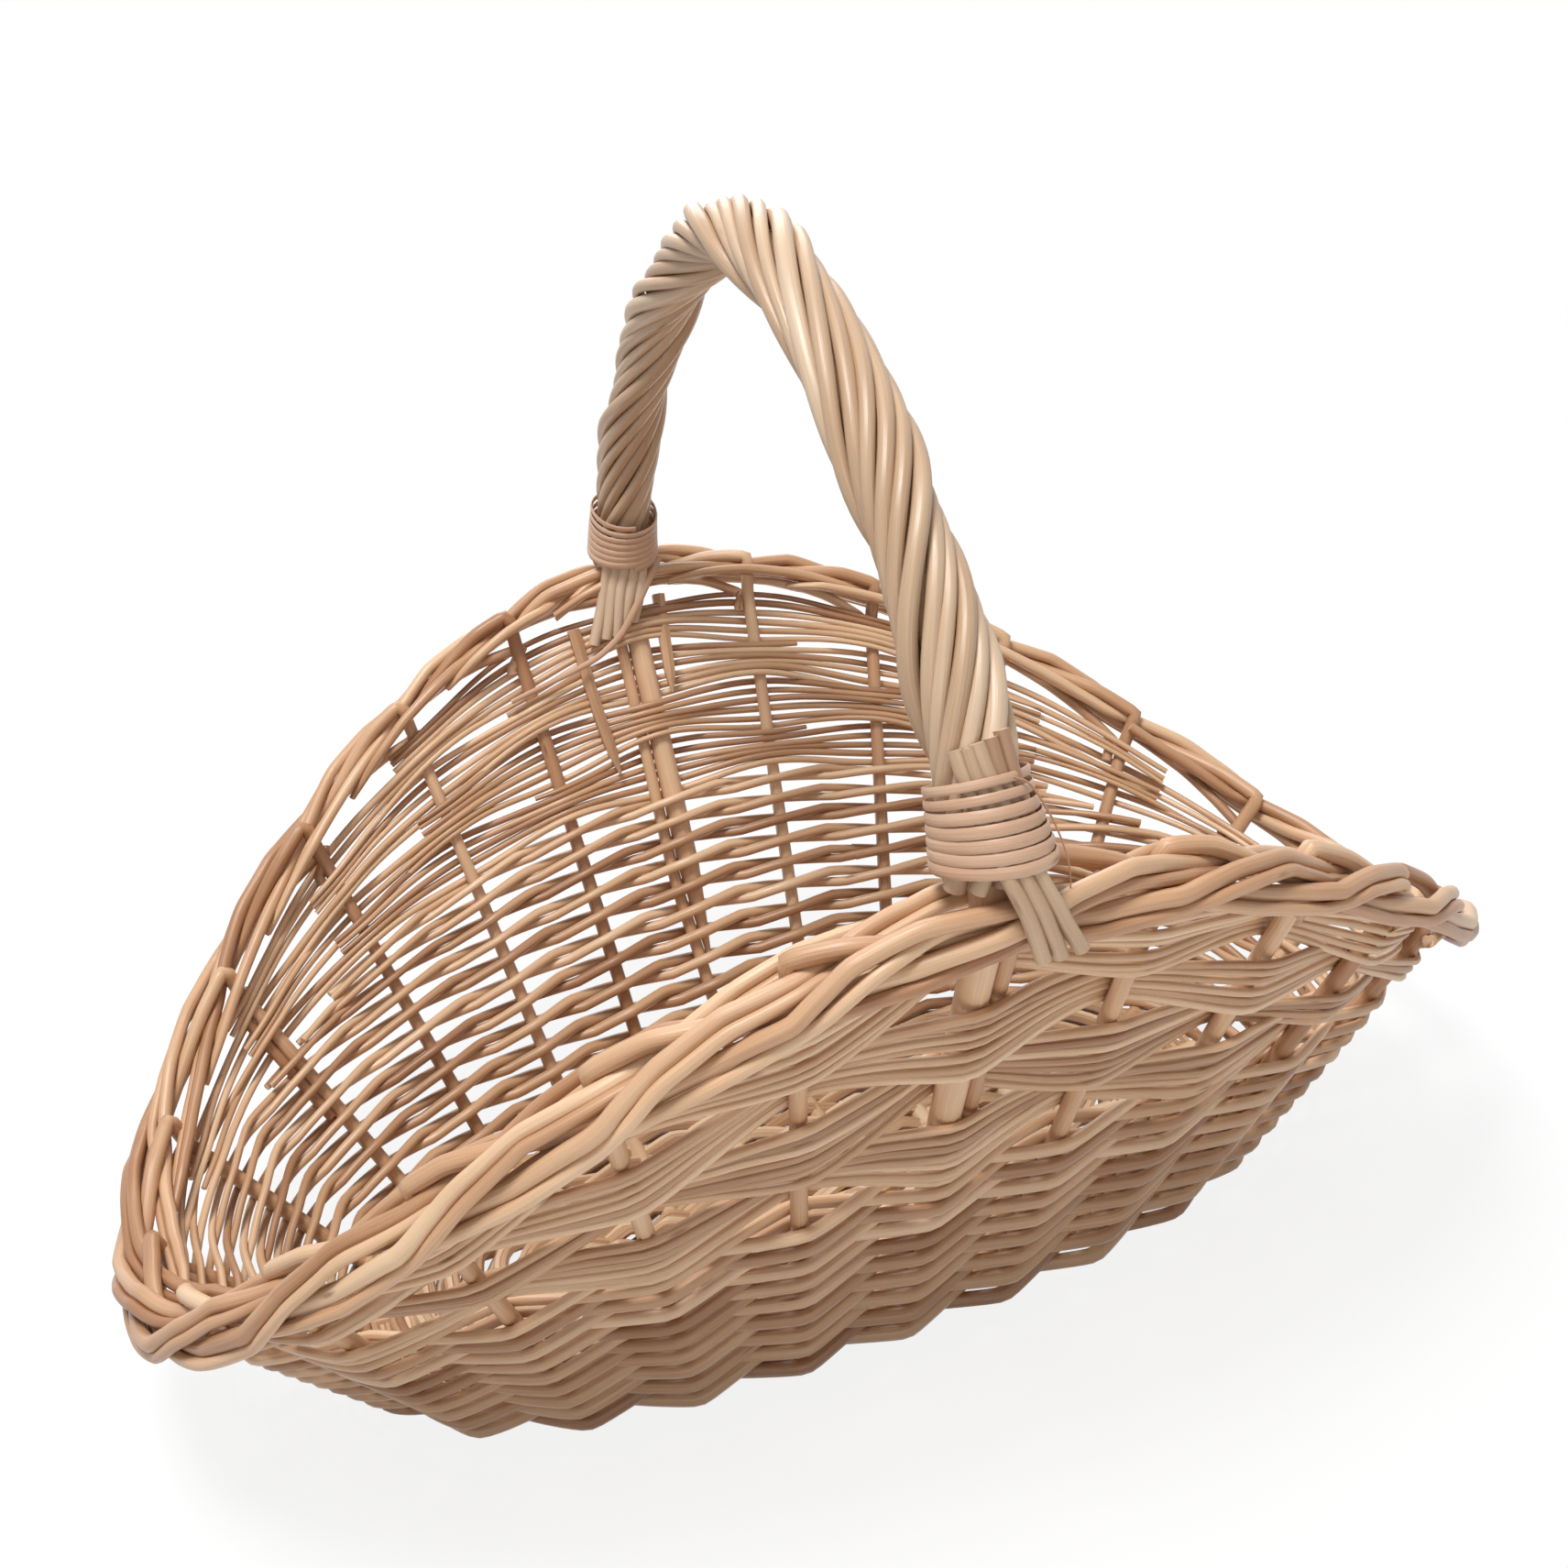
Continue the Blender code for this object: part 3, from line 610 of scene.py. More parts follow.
def willow(name, deep, middle, pale):
    """Peeled willow: a tone for each rod, streaks along it, small dark buds and pale cut ends."""
    material = bpy.data.materials.new(name)
    material.use_nodes = True
    nodes, links = material.node_tree.nodes, material.node_tree.links
    shader = nodes["Principled BSDF"]

    def attribute(key):
        node = nodes.new("ShaderNodeAttribute")
        node.attribute_name = key
        return node

    def scaled(vector, scale):
        node = nodes.new("ShaderNodeVectorMath")
        node.operation = "MULTIPLY"
        links.new(vector, node.inputs[0])
        node.inputs[1].default_value = scale
        return node.outputs[0]

    def noise(vector, scale, detail):
        node = nodes.new("ShaderNodeTexNoise")
        node.inputs["Scale"].default_value = 1
        node.inputs["Detail"].default_value = detail
        links.new(scaled(vector, scale), node.inputs["Vector"])
        return node.outputs["Fac"]

    def sum_of(first, second, weight):
        node = nodes.new("ShaderNodeMath")
        node.operation = "MULTIPLY_ADD"
        links.new(second, node.inputs[0])
        node.inputs[1].default_value = weight
        if isinstance(first, float):
            node.inputs[2].default_value = first
        else:
            links.new(first, node.inputs[2])
        return node.outputs[0]

    def ramp(value, stops, colours):
        node = nodes.new("ShaderNodeValToRGB")
        elements = node.color_ramp.elements
        while len(elements) < len(stops):
            elements.new(0.5)
        for element, place, colour in zip(elements, stops, colours):
            element.position = place
            element.color = (*colour, 1)
        links.new(value, node.inputs[0])
        return node.outputs[0]

    def mixed(factor, first, second, blend="MIX"):
        node = nodes.new("ShaderNodeMix")
        node.data_type = "RGBA"
        node.blend_type = blend
        for value, socket in zip((factor, first, second), (node.inputs[0], node.inputs[6], node.inputs[7])):
            if isinstance(value, (tuple, float)):
                socket.default_value = value
            else:
                links.new(value, socket)
        return node.outputs[2]

    grain = attribute("grain").outputs["Vector"]
    tone = attribute("tone").outputs["Fac"]
    fibres = noise(grain, FIBRE_SCALE, FIBRE_DETAIL)
    patches = noise(grain, PATCH_SCALE, PATCH_DETAIL)
    value = sum_of(-VALUE_SHIFT, tone, TONE_WEIGHT)
    value = sum_of(value, fibres, FIBRE_WEIGHT)
    value = sum_of(value, patches, PATCH_WEIGHT)
    colour = ramp(value, TONE_STOPS, (deep, middle, pale))
    spots = nodes.new("ShaderNodeTexVoronoi")
    spots.inputs["Scale"].default_value = 1
    links.new(scaled(grain, BUD_SCALE), spots.inputs["Vector"])
    buds = ramp(spots.outputs["Distance"], BUD_STOPS, (BUD_COLOUR, (1, 1, 1)))
    colour = mixed(BUD_WEIGHT, colour, buds, "MULTIPLY")
    colour = mixed(attribute("cut_end").outputs["Fac"], colour, (*pale, 1))
    links.new(colour, shader.inputs["Base Color"])
    roughness = sum_of(ROUGHNESS - ROUGHNESS_SPREAD / 2, fibres, ROUGHNESS_SPREAD)
    links.new(roughness, shader.inputs["Roughness"])
    bump = nodes.new("ShaderNodeBump")
    bump.inputs["Strength"].default_value = BUMP_STRENGTH
    bump.inputs["Distance"].default_value = BUMP_DISTANCE
    links.new(sum_of(fibres, patches, BUMP_PATCH_WEIGHT), bump.inputs["Height"])
    links.new(bump.outputs[0], shader.inputs["Normal"])
    return material


MATERIALS = {slot: willow(slot, *colours) for slot, colours in WILLOWS.items()}


# Stakes and border

def border_frames(place):
    """The rim's point at each place, and the directions that the border's cross-section is drawn in."""
    along = wall_along(place, np.ones_like(place))
    outward = unit(np.cross(along, UP))
    upward = np.cross(outward, along)
    droop = tip_droop(place)[..., None]
    tilt = BORDER_TILT + DROOP_TILT * droop
    tilted_outward = outward * np.cos(tilt) - upward * np.sin(tilt)
    tilted_upward = upward * np.cos(tilt) + outward * np.sin(tilt)
    middle = wall_point(place, 1) + (outward * DROOP_REACH - UP * DROOP_DEPTH) * droop
    return middle, tilted_outward, tilted_upward


def border_goal(runs):
    """The routes of each stake and its liner, a little uneven: out from the rim and up at these runs."""
    route = np.array(BORDER_ROUTE_SHARES)
    later = route[route[:, 0] > LINER_ROUTE_SHARES[-1][0]] + (0, *LINER_SHIFT_SHARES)
    routes = (route, np.concatenate([LINER_ROUTE_SHARES, later]))
    goal = np.empty((STAKES, 2, len(runs), 2))
    for stake in range(STAKES):
        for rod, plan in enumerate(routes):
            own = plan[:, 1:] * BORDER_REACH + dice.normal(0, ROUTE_UNEVENNESS, (len(plan), 2))
            own_runs = runs + dice.normal(0, RUN_UNEVENNESS)
            for axis in range(2):
                goal[stake, rod, :, axis] = np.interp(own_runs, plan[:, 0], own[:, axis])
    return goal


def border_push(spots, radii):
    """How each border rod is pushed by those that it overlaps, from its own stake and from others."""
    push = np.zeros_like(spots)
    count = spots.shape[2]
    for apart in range(BORDER_LAPS):
        lag = apart * BORDER_STEPS
        for rod in range(2):
            for other in range(2):
                if apart == 0 and rod >= other:
                    continue
                older = spots[:, rod, lag:]
                younger = np.roll(spots[:, other], -apart, axis=0)[:, :count - lag]
                gap = older - younger
                distance = np.maximum(np.linalg.norm(gap, axis=-1, keepdims=True), LEAST_DISTANCE)
                reach = radii[rod, lag:] + radii[other, :count - lag]
                shove = gap / distance * np.maximum(reach[:, None] - distance, 0) * PUSH_SHARE
                push[:, rod, lag:] += shove
                push[:, other, :count - lag] -= np.roll(shove, apart, axis=0)
    return push


def laid_border():
    """Where each stake and its liner lie in the border: pressed side by side, clear of the bows."""
    runs = np.arange(0, BORDER_ROUTE_SHARES[-1][0], 1 / BORDER_STEPS)
    places = np.arange(STAKES)[:, None, None] + np.zeros((1, 2, 1)) + runs
    goal = border_goal(runs)
    along_share = runs / runs[-1]
    radii = np.stack([STAKE_RADIUS * (1 - (1 - STAKE_TIP_SHARE) * along_share),
                      LINER_RADIUS * (1 - (1 - LINER_TIP_SHARE) * along_share)])
    radii *= 1 - BORDER_END_TAPER * along_share ** BORDER_TAPER_POWER
    to_bow = from_foot(places)
    nearest = np.abs(to_bow).argmin(-1)[..., None]
    side = np.sign(np.take_along_axis(goal[..., 0], nearest, -1))
    clear = BOW_RADII[-1][1] + radii[None]
    room = np.sqrt(np.maximum(clear ** 2 - (to_bow * RIM_SPACING) ** 2, 0))
    parting = np.cos(np.clip(np.abs(to_bow) / BOW_CLEARANCE_RUN, 0, 1) * math.pi / 2) ** 2
    parted = side * np.maximum(np.abs(goal[..., 0]), clear)
    goal[..., 0] += (parted - goal[..., 0]) * parting
    spots = goal.copy()
    for _ in range(BORDER_ROUNDS):
        moved = spots + border_push(spots, radii) + (goal - spots) * PULL_SHARE - goal
        bend = moved[:, :, 2:] + moved[:, :, :-2] - 2 * moved[:, :, 1:-1]
        moved[:, :, 1:-1] += STRAIGHTENING_SHARE * bend
        spots = goal + moved
        blocked = (room > 0) & (spots[..., 0] * side < room)
        spots[..., 0] = np.where(blocked, side * room, spots[..., 0])
        spots[..., 0] = np.minimum(spots[..., 0], BORDER_REACH)
    spots[..., 0] *= 1 - TIP_NARROWING * tip_droop(places)
    frames = border_frames(places)
    return frames[0] + frames[1] * spots[..., :1] + frames[2] * spots[..., 1:], radii


def stake_leg(number, start):
    """A stake's points from its socket in the base up to the bands' top."""
    rises = np.linspace(0.0, float(bands_top(np.array(start))), LEG_POINTS)
    leg = wall_point(stake_place(number, rises), rises)
    inward = np.cross(UP, wall_along(np.array([start]), np.zeros(1)))[0]
    leg[0] += inward * STAKE_RADIUS
    return np.concatenate([[leg[0] + inward * (SOCKET_DEPTH - STAKE_RADIUS)], leg])


def liner_leg(number, start):
    """The upright end of a liner beside its stake: short, or down into the lower wall."""
    top = float(bands_top(np.array(start)))
    is_long = dice.uniform() < LONG_LINER_SHARE
    stub = top - LINER_STUB / float(wall_height(np.array(start)))
    foot = LINER_FOOT_SHARE * float(pairing_top(np.array(start))) if is_long else stub
    rises = np.linspace(foot, top - LINER_LOW_SHARE, LEG_POINTS)
    beside = (STAKE_RADIUS + LINER_RADIUS) / RIM_SPACING
    return wall_point(stake_place(number, rises) + beside, rises)


def make_stakes():
    border, radii = laid_border()
    for number in range(STAKES):
        rods = Rods()
        start = float(stake_place(number, 1.0))
        first = round((start - number) * BORDER_STEPS)
        _, outward, upward = (part[0] for part in border_frames(np.array([start])))
        along = np.cross(upward, outward)
        for rod, radius in enumerate((STAKE_RADIUS, LINER_RADIUS)):
            last = len(border[number, rod])
            if number in SHORT_RUNS:
                last = round(SHORT_RUNS[number][rod] * BORDER_STEPS)
            laid = border[number, rod, first:last]
            if rod == 0:
                leg = np.concatenate([stake_leg(number, start), [laid[0] - upward * KNUCKLE_RISE]])
                laid[0] += along * KNUCKLE_REACH
            else:
                leg = liner_leg(number, start)
            leg, over = smoothed(leg, STAKE_STEPS), smoothed(laid, STAKE_STEPS)
            points = np.concatenate([leg, over])
            size = np.full(len(points), radius)
            size[len(leg):] = np.interp(np.linspace(0, 1, len(over)),
                                        np.linspace(0, 1, len(laid)), radii[rod, first:last])
            size = size * (1 + wander(len(points), *STAKE_WANDER)) * dice.uniform(*STAKE_SIZE_SHARES)
            rods.add(points, size, sides=THICK_SIDES)
        label = f"{number + 1:02d}"
        rods.piece(f"stake_and_liner_{label}", "stake_willow", [f"side_stake_{label}"])


# Lower wall and bands

def zigzag(place):
    """1 at even places, -1 at odd ones, nearly straight between and bent round the stakes."""
    return np.arcsin(KINK * np.cos(math.pi * place)) / math.asin(KINK)


def short_row_share(place):
    """How much of its full height a short row has: all of it at the back, next to nothing at the front."""
    share = oval_point(RIM, place)[..., 1] / RIM_HALF_WIDTH - SHORT_ROW_START_SHARE
    return np.clip(share / (SHORT_ROW_FULL_SHARE - SHORT_ROW_START_SHARE), THIN_ROW_SHARE, 1)


def row_edges(place):
    """The heights at which the rows start and end."""
    rows = ROWS + SHORT_ROWS
    heights = 1 + ROW_GROWTH_SHARE * (1 - np.arange(rows) / (rows - 1))[:, None] + 0 * place
    heights[ROWS:] *= short_row_share(place)
    edges = np.concatenate([0 * place[None], np.cumsum(heights, 0)])
    return edges / edges[-1] * pairing_top(place) * wall_height(place)


def make_lower_wall():
    rods = Rods()
    back = np.linspace(0, STAKES / 2, BACK_POINTS)
    back = back[short_row_share(back) > SHORT_ROW_LEAST_SHARE]
    for row in range(ROWS + SHORT_ROWS):
        first = int(dice.integers(0, STAKES)) + ROW_START
        last = first + STAKES + ROW_OVERLAP
        if row >= ROWS:
            tuck = SHORT_ROW_TUCK * (row - ROWS)
            first, last = back[0] + tuck, back[-1] - tuck
        place = np.linspace(first, last, int((last - first) * WALL_STEPS))
        edges = row_edges(place)
        low, high = edges[row], edges[row + 1]
        pitch = high - low
        for turn in (0, 1):
            phase = place - turn
            radius = np.clip(pitch / 4, *WEAVER_RADII) * WEAVER_SIZE_SHARE
            rise = (low + high) / 2 / wall_height(place)
            rise = rise - ROW_SINK / wall_height(place) * (1 - rise / pairing_top(place))
            offset = (rod_radius(place, rise) + radius) * zigzag(phase)
            crossings = [-0.5 - CROSSING_DELAY, 0.5 + CROSSING_DELAY, 1.5 - CROSSING_DELAY]
            lift = pitch / 4 * np.interp(phase, crossings, [-1, 1, -1], period=2)
            lift = lift + wander(len(place), *WEAVER_LIFT_WANDER)
            points = wall_point(place, rise + lift / wall_height(place), offset)
            points[:, 2] = np.maximum(points[:, 2], radius)
            rods.add(points, radius * (1 + wander(len(place), *WEAVER_SIZE_WANDER)))
    for knots in WALL_PEGS:
        place, rise, offset = smoothed(np.array(knots), ROUTE_STEPS).T
        taper = np.interp(np.linspace(0, 1, len(place)), *WALL_PEG_TAPER_SHARES)
        rods.add(wall_point(place, rise, offset), WALL_PEG_RADIUS * taper, sides=THIN_SIDES)
    rods.piece("paired_weave", "weaver_willow", ["paired_lower_wall"])


def spans_where(mask):
    """The runs of True in a ring of values, as first and last index, counted on past the end."""
    if mask.all():
        return [(0, len(mask))]
    starts = [index for index in range(len(mask)) if mask[index] and not mask[index - 1]]
    return [(start, start + int(np.argmin(np.roll(mask, -start)))) for start in starts]


def passed_inside(place, number):
    """The stake nearest to a place that this band passes inside."""
    return 2 * round((place + number - 1) / 2) + 1 - number


def make_bands():
    ring = np.arange(STAKES * BAND_STEPS) / BAND_STEPS
    pitch_ring = band_pitch(ring)
    thick = 2 * BAND_ROD_RADIUS
    for number in range(BANDS):
        rods = Rods()
        for rod in range(BAND_RODS):
            for first, last in spans_where((rod + BAND_ROOM_SHARE) * thick < pitch_ring):
                if last - first == len(ring):
                    start = int(dice.integers(0, STAKES // 2)) * 2 + 1 + number - BAND_RING_START
                    end = start + STAKES + BAND_RING_OVERLAP
                else:
                    start = passed_inside(first / BAND_STEPS, number) - BAND_END_REACH
                    end = passed_inside(last / BAND_STEPS, number) + BAND_END_REACH
                place = np.arange(start, end, 1 / BAND_STEPS)
                wall = wall_height(place)
                pitch = band_pitch(place)
                count = np.clip(pitch / thick, 1, BAND_RODS)
                bottom = pairing_top(place) * wall + pitch * number
                step = np.maximum(BAND_LEAST_STEP_SHARE * thick, BAND_FILL_SHARE * pitch / count)
                step = step * (1 + BAND_FAN_SHARE * np.cos(math.pi * (place + number)))
                height = bottom + pitch / 2 + (rod - (count - 1) / 2) * step
                height = height + wander(len(place), *BAND_HEIGHT_WANDER)
                swing = rod_radius(place, height / wall) + BAND_ROD_RADIUS
                offset = swing * zigzag(place + number) + wander(len(place), *BAND_OFFSET_WANDER)
                points = wall_point(place, height / wall, offset)
                taper = 1 - BAND_TAPER_SHARE * np.abs(np.linspace(-1, 1, len(place))) ** BAND_TAPER_POWER
                rods.add(points, BAND_ROD_RADIUS * dice.uniform(*BAND_SIZE_SHARES) * taper)
        label = number + 1
        rods.piece(f"woven_band_rods_{label}", "weaver_willow", [f"woven_band_{label}"])


# Base

def add_stick(rods, places, shares, radius):
    """A straight stick at these shares of the way between two places on the base's edge."""
    ends = oval_point(BASE, np.array(places))
    ends[:, 2] = BASE_THICKNESS / 2
    rods.add(ends[0] + (ends[1] - ends[0]) * shares[:, None], radius, sides=THICK_SIDES)


def make_base():
    rods = Rods()
    place = np.linspace(0, STAKES, BASE_STEPS * STAKES + 1)
    swing = (BASE_THICKNESS / 2 - BASE_WEAVER_RADIUS) * zigzag(place + BASE_PHASE)
    for row in range(BASE_ROWS):
        for turn in (1, -1):
            inset = BASE_EDGE_INSET + row * BASE_ROW_PITCH + turn * BASE_ROW_PITCH / 4
            loop = oval(BASE_HALF_LENGTH - inset, BASE_HALF_WIDTH - inset, BASE_ROUNDNESS, BASE_OFFSET)
            line = oval_point(loop, place)
            line[:, 2] = BASE_THICKNESS / 2 + turn * (-1) ** row * swing
            rods.add(line, BASE_WEAVER_RADIUS, sides=THIN_SIDES)
    shares = np.linspace(*CROSS_STICK_SHARES, CROSS_STICK_POINTS)
    first = (1 - CROSS_STICKS) / 2
    for number in range(CROSS_STICKS):
        places = (FAR_FOOT + first + number, NEAR_FOOT - first - number)
        add_stick(rods, places, shares, BASE_STICK_RADIUS)
    shares = np.linspace(*LONG_STICK_SHARES, LONG_STICK_POINTS)
    for place in LONG_STICK_PLACES:
        add_stick(rods, (place, STAKES / 2 - place), shares, LONG_STICK_RADIUS)
    nodes = ["base_panel", "base_long_stick_1", "base_long_stick_2"]
    nodes += [f"base_cross_stick_{number + 1}" for number in range(CROSS_STICKS)]
    rods.piece("woven_base", "base_willow", nodes)


# Handle

def make_bow():
    bow = Rods()
    rises = np.linspace(BOW_REACH_SHARE, BOW_TOP_SHARE, LEG_POINTS)
    near, far = (wall_point(foot, rises) for foot in (NEAR_FOOT, FAR_FOOT))
    arch = point_along(HANDLE, np.linspace(0, HANDLE_LENGTH, ARCH_POINTS))
    radius = bow_radius(rises)
    radii = np.concatenate([radius, np.full(len(arch), BOW_RADIUS), radius[::-1]])
    bow.add(np.concatenate([near, arch, far[::-1]]), radii, sides=HANDLE_SIDES)
    bow.piece("bow_rod", "stake_willow", ["handle_bow"])


def handle_turns(share):
    """How far the rods have turned round the bow at these shares of its length, in whole turns."""
    turned = np.array(HANDLE_TURNS)
    turned = np.interp(share, turned[:, 0], turned[:, 1])
    for _ in range(HANDLE_SMOOTHINGS):
        turned[1:-1] += HANDLE_SMOOTHING_SHARE * ((turned[2:] + turned[:-2]) / 2 - turned[1:-1])
    return turned


def add_foot_rods(rods):
    """The short rods that end at the handle's feet."""
    for knots in NEAR_FOOT_RODS:
        tone = dice.uniform(*NEAR_FOOT_TONES)
        rods.add(foot_route(knots, True), FOOT_ROD_RADIUS, tone=tone, sides=HANDLE_SIDES)
    for knots in NEAR_DARK_RODS:
        rods.add(foot_route(knots, True), NEAR_DARK_ROD_RADIUS, tone=NEAR_DARK_TONE, sides=HANDLE_SIDES)
    for knots in FAR_FOOT_RODS:
        tone = dice.uniform(*FAR_FOOT_TONES)
        rods.add(foot_route(knots, False), FAR_FOOT_ROD_RADIUS, tone=tone, sides=HANDLE_SIDES)


def make_handle_rods():
    start = BINDING_FOOT - HANDLE_ROD_DROP
    share = np.linspace(0, 1, HANDLE_POINTS)
    distance = start + (HANDLE_LENGTH - 2 * start) * share
    turned = handle_turns(share)
    widths = np.array(HANDLE_ROD_SIZES)
    around = (np.cumsum(widths) - widths / 2) / widths.sum()
    laid = 0
    for group, count in enumerate(HANDLE_GROUPS):
        rods = Rods()
        for rod in range(laid, laid + count):
            ride = (rod / HANDLE_FAN_RODS) % 1 - 0.5
            phase = HANDLE_PHASE + around[rod]
            angle = 2 * math.pi * (turned + phase) + wander(len(share), *HANDLE_ANGLE_WANDER)
            ring = HANDLE_RING_RADIUS + ride * HANDLE_RIDE + wander(len(share), *HANDLE_RING_WANDER)
            middle, spoke = handle_spoke(distance, angle)
            size = HANDLE_ROD_RADIUS * widths[rod] * (1 + wander(len(share), *HANDLE_SIZE_WANDER))
            tone = dice.uniform(*HANDLE_TONES)
            rods.add(middle + spoke * ring[:, None], size, tone=tone, sides=HANDLE_SIDES)
        laid += count
        if group == 0:
            add_foot_rods(rods)
        label = group + 1
        rods.piece(f"handle_rods_{label}", "handle_willow", [f"handle_strand_{label}"])


def add_loose_fibre(skein):
    points = foot_route(LOOSE_FIBRE, True)
    taper = np.linspace(1, LOOSE_FIBRE_TIP_SHARE, len(points))
    skein.add(points, taper * LOOSE_FIBRE_RADIUS, tone=LOOSE_FIBRE_TONE, sides=FIBRE_SIDES)


def add_skein_tail(skein):
    place, height, offset = smoothed(np.array(SKEIN_TAIL), ROUTE_STEPS).T
    tail = wall_point(place, height, offset)
    inward = unit(tail - wall_point(place, height, offset + SKEIN_TAIL_PROBE))
    taper = np.linspace(1, SKEIN_TAIL_TIP_SHARE, len(tail))
    skein.add(tail, taper * SKEIN_HALF_WIDTHS[0][1], tone=SKEIN_TAIL_TONE,
              flatness=SKEIN_TAIL_FLATNESS, facing=inward)


def make_skeins():
    widths = np.array(SKEIN_HALF_WIDTHS)
    turns = np.linspace(0, BINDING_TURNS, BINDING_TURNS * BINDING_TURN_STEPS + 1)
    up = turns / BINDING_TURNS
    half_width = np.interp(turns, widths[:, 0], widths[:, 1])
    spread = BINDING_SPREAD * np.maximum(turns - BINDING_SPREAD_START, 0)
    for name, from_near, lobe in BINDINGS:
        skein = Rods()
        rise = BINDING_FOOT + BINDING_PITCH * turns + spread
        rise = rise + wander(len(turns), *BINDING_WANDER)
        distance = rise if from_near else HANDLE_LENGTH - rise
        angle = 2 * math.pi * (turns if from_near else -turns)
        middle, spoke = handle_spoke(distance, angle)
        over_rods = np.maximum(np.cos(angle - np.radians(np.interp(up, [0, 1], lobe))), 0) ** 2
        ring = BINDING_RADIUS + BINDING_FLARE * (1 - up) + BINDING_LOBE * over_rods
        skein.add(middle + spoke * ring[:, None], half_width, tone=SKEIN_TONE, sides=THICK_SIDES,
                  flatness=SKEIN_HALF_THICKNESS / SKEIN_HALF_WIDTHS[0][1], facing=spoke)
        if from_near:
            add_loose_fibre(skein)
        else:
            add_skein_tail(skein)
        skein.piece(name, "skein_willow", [f"{name}_binding"])


# Studio

def seen_by_camera(tree):
    """1 for what the camera sees, also in a reflection, and 0 for what only lights the basket."""
    path = tree.nodes.new("ShaderNodeLightPath")
    seen = tree.nodes.new("ShaderNodeMath")
    seen.operation = "MAXIMUM"
    tree.links.new(path.outputs["Is Camera Ray"], seen.inputs[0])
    tree.links.new(path.outputs["Is Glossy Ray"], seen.inputs[1])
    return seen.outputs[0]


def floor_material():
    """A pale surface that the camera sees partly as its own light, more so far away, so that it reads
    as white. It still shows the basket's shadow."""
    material = bpy.data.materials.new("floor_white")
    material.use_nodes = True
    tree = material.node_tree
    nodes, links = tree.nodes, tree.links
    shader = nodes["Principled BSDF"]
    shader.inputs["Roughness"].default_value = FLOOR_ROUGHNESS
    path = nodes.new("ShaderNodeLightPath")
    tint = nodes.new("ShaderNodeMix")
    tint.data_type = "RGBA"
    tint.inputs[6].default_value = (*(FLOOR_BOUNCE_SHARE * part for part in FLOOR_COLOUR), 1)
    tint.inputs[7].default_value = (*FLOOR_COLOUR, 1)
    links.new(path.outputs["Is Camera Ray"], tint.inputs[0])
    links.new(tint.outputs[2], shader.inputs["Base Color"])
    place = nodes.new("ShaderNodeNewGeometry")
    distance = nodes.new("ShaderNodeVectorMath")
    distance.operation = "LENGTH"
    links.new(place.outputs["Position"], distance.inputs[0])
    fade = nodes.new("ShaderNodeMapRange")
    fade.inputs["From Min"].default_value = FLOOR_FADE_START
    fade.inputs["From Max"].default_value = FLOOR_FADE_END
    fade.inputs["To Min"].default_value = FLOOR_LIGHT_SHARE
    fade.inputs["To Max"].default_value = 1
    links.new(distance.outputs["Value"], fade.inputs["Value"])
    share = nodes.new("ShaderNodeMath")
    share.operation = "MULTIPLY"
    links.new(seen_by_camera(tree), share.inputs[0])
    links.new(fade.outputs[0], share.inputs[1])
    light = nodes.new("ShaderNodeEmission")
    mix = nodes.new("ShaderNodeMixShader")
    links.new(share.outputs[0], mix.inputs[0])
    links.new(shader.outputs[0], mix.inputs[1])
    links.new(light.outputs[0], mix.inputs[2])
    links.new(mix.outputs[0], nodes["Material Output"].inputs["Surface"])
    return material


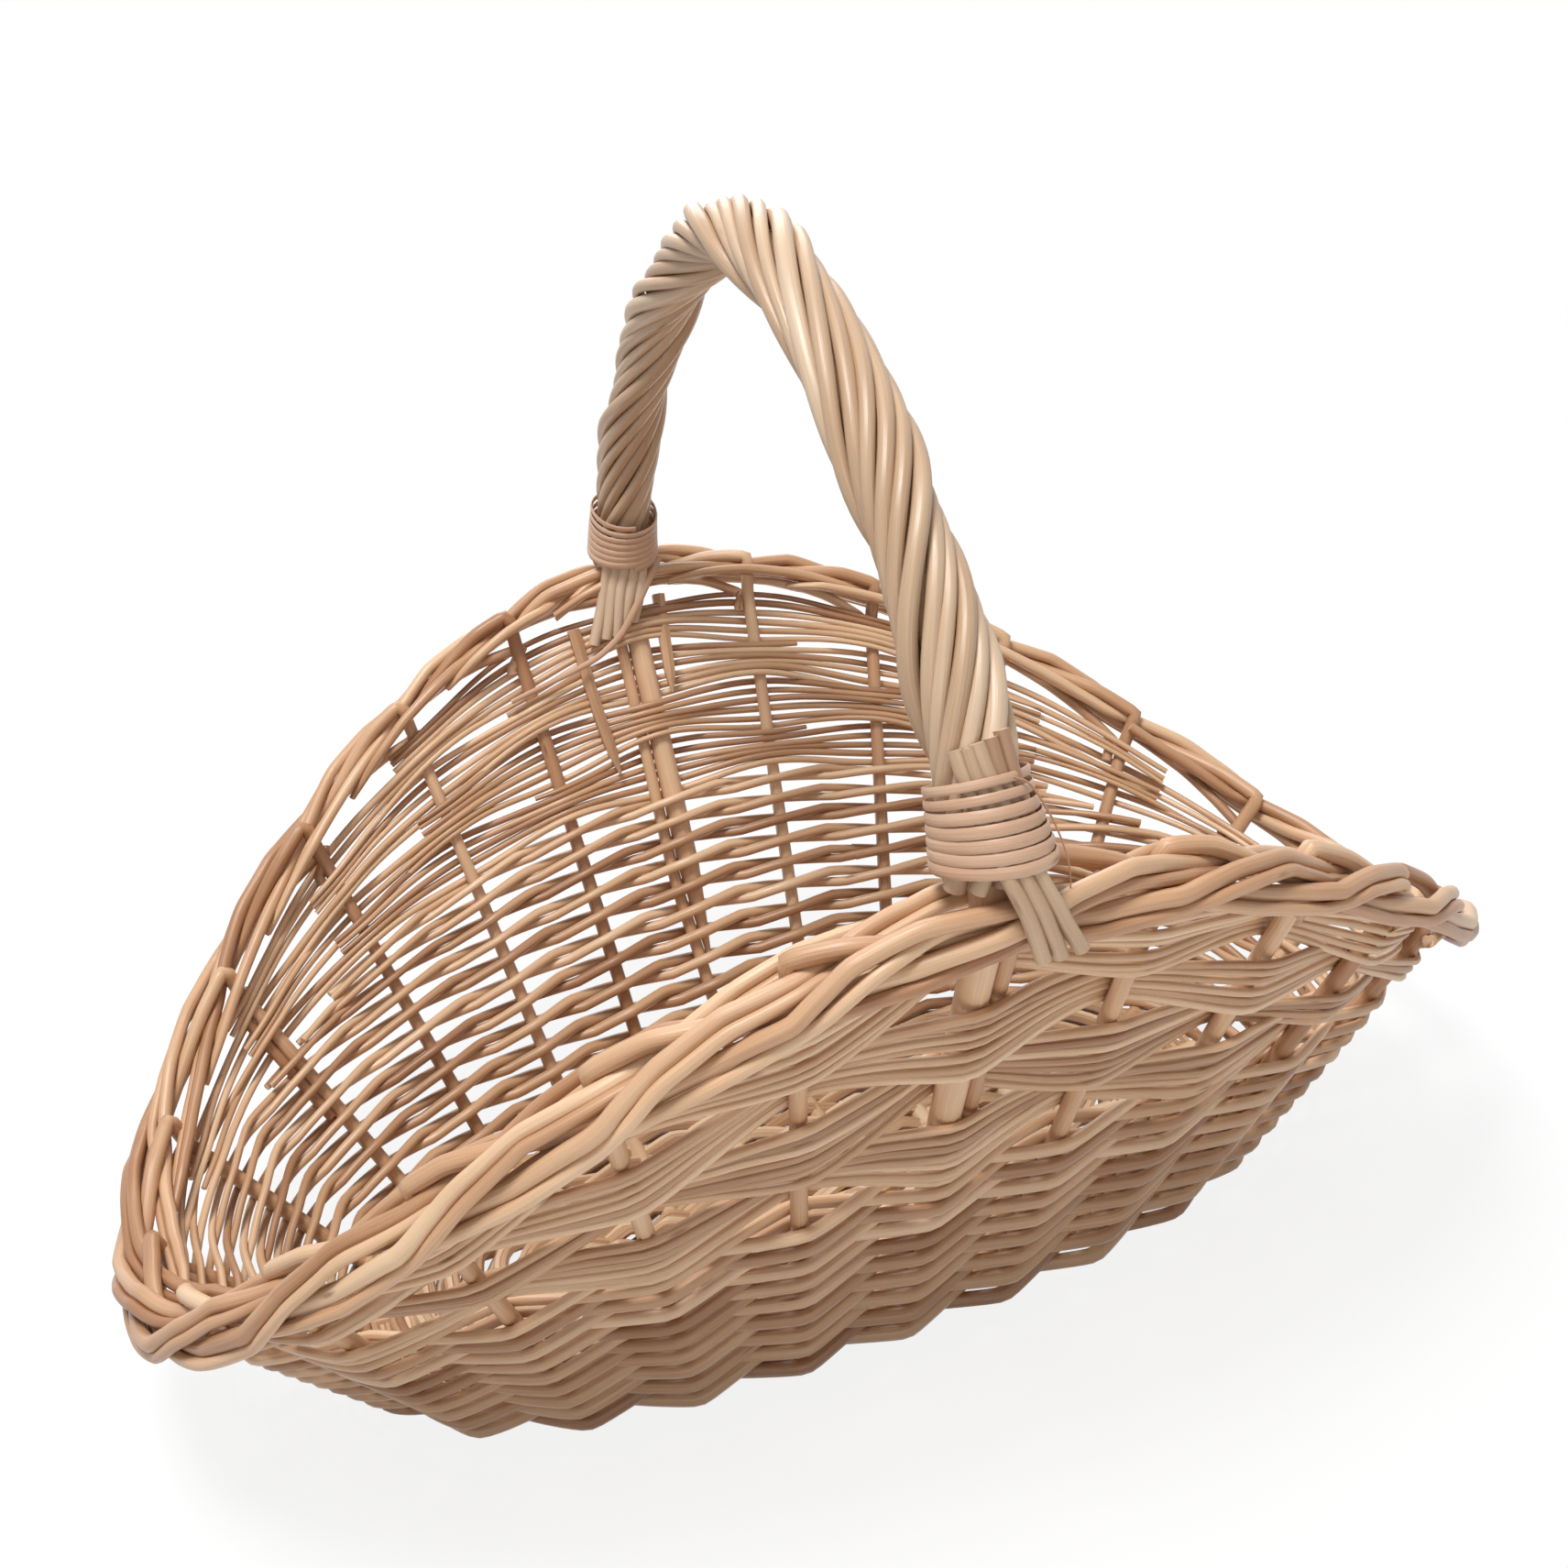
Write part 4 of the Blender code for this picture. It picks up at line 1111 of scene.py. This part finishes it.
def make_floor():
    size = FLOOR_HALF_SIZE
    corners = [(-size, -size, 0), (size, -size, 0), (size, size, 0), (-size, size, 0)]
    floor = bpy.data.meshes.new("floor")
    floor.from_pydata(corners, [], [(0, 1, 2, 3)])
    floor.materials.append(floor_material())
    thing = bpy.data.objects.new("floor", floor)
    thing.location = (0, 0, -FLOOR_DROP)
    bpy.context.scene.collection.objects.link(thing)


def make_world():
    """Even light from all round, which the camera sees as white."""
    world = bpy.data.worlds.new("studio")
    bpy.context.scene.world = world
    world.use_nodes = True
    tree = world.node_tree
    background = tree.nodes["Background"]
    background.inputs["Color"].default_value = (1, 1, 1, 1)
    strength = tree.nodes.new("ShaderNodeMapRange")
    strength.inputs["To Min"].default_value = WORLD_STRENGTH
    strength.inputs["To Max"].default_value = 1
    tree.links.new(seen_by_camera(tree), strength.inputs["Value"])
    tree.links.new(strength.outputs[0], background.inputs["Strength"])


def add_lamp(name, shape, sizes, power, place):
    lamp = bpy.data.lights.new(name, "AREA")
    lamp.shape = shape
    lamp.size, lamp.size_y = sizes
    lamp.energy = power
    thing = bpy.data.objects.new(name, lamp)
    thing.location = place
    bpy.context.scene.collection.objects.link(thing)
    return thing


def make_lamps():
    for name, place, size, power in LAMPS:
        thing = add_lamp(name, "DISK", (size, size), power, place)
        aim = np.array(place) - np.array(LAMP_TARGET)
        thing.rotation_euler = Vector(aim).to_track_quat("Z", "Y").to_euler()
    x, y, z = LOW_LAMP_PLACE
    for name, side in (("low_front", 1), ("low_back", -1)):
        thing = add_lamp(name, "RECTANGLE", LOW_LAMP_SIZES, LOW_LAMP_POWER, (x, side * y, z))
        thing.rotation_euler = (math.pi, 0, 0)
        thing.visible_camera = False


def make_camera():
    data = bpy.data.cameras.new("camera")
    data.lens = CAMERA_LENS_MM
    data.sensor_width = CAMERA_SENSOR_MM
    data.shift_x, data.shift_y = CAMERA_SHIFT_SHARES
    camera = bpy.data.objects.new("camera", data)
    camera.location = CAMERA_PLACE
    camera.rotation_euler = [math.radians(angle) for angle in CAMERA_TURN_DEGREES]
    bpy.context.scene.collection.objects.link(camera)
    bpy.context.scene.camera = camera


def main():
    bpy.context.scene.view_settings.view_transform = "Standard"
    make_camera()
    make_floor()
    make_world()
    make_lamps()
    make_stakes()
    make_lower_wall()
    make_bands()
    make_base()
    make_bow()
    make_handle_rods()
    make_skeins()


main()
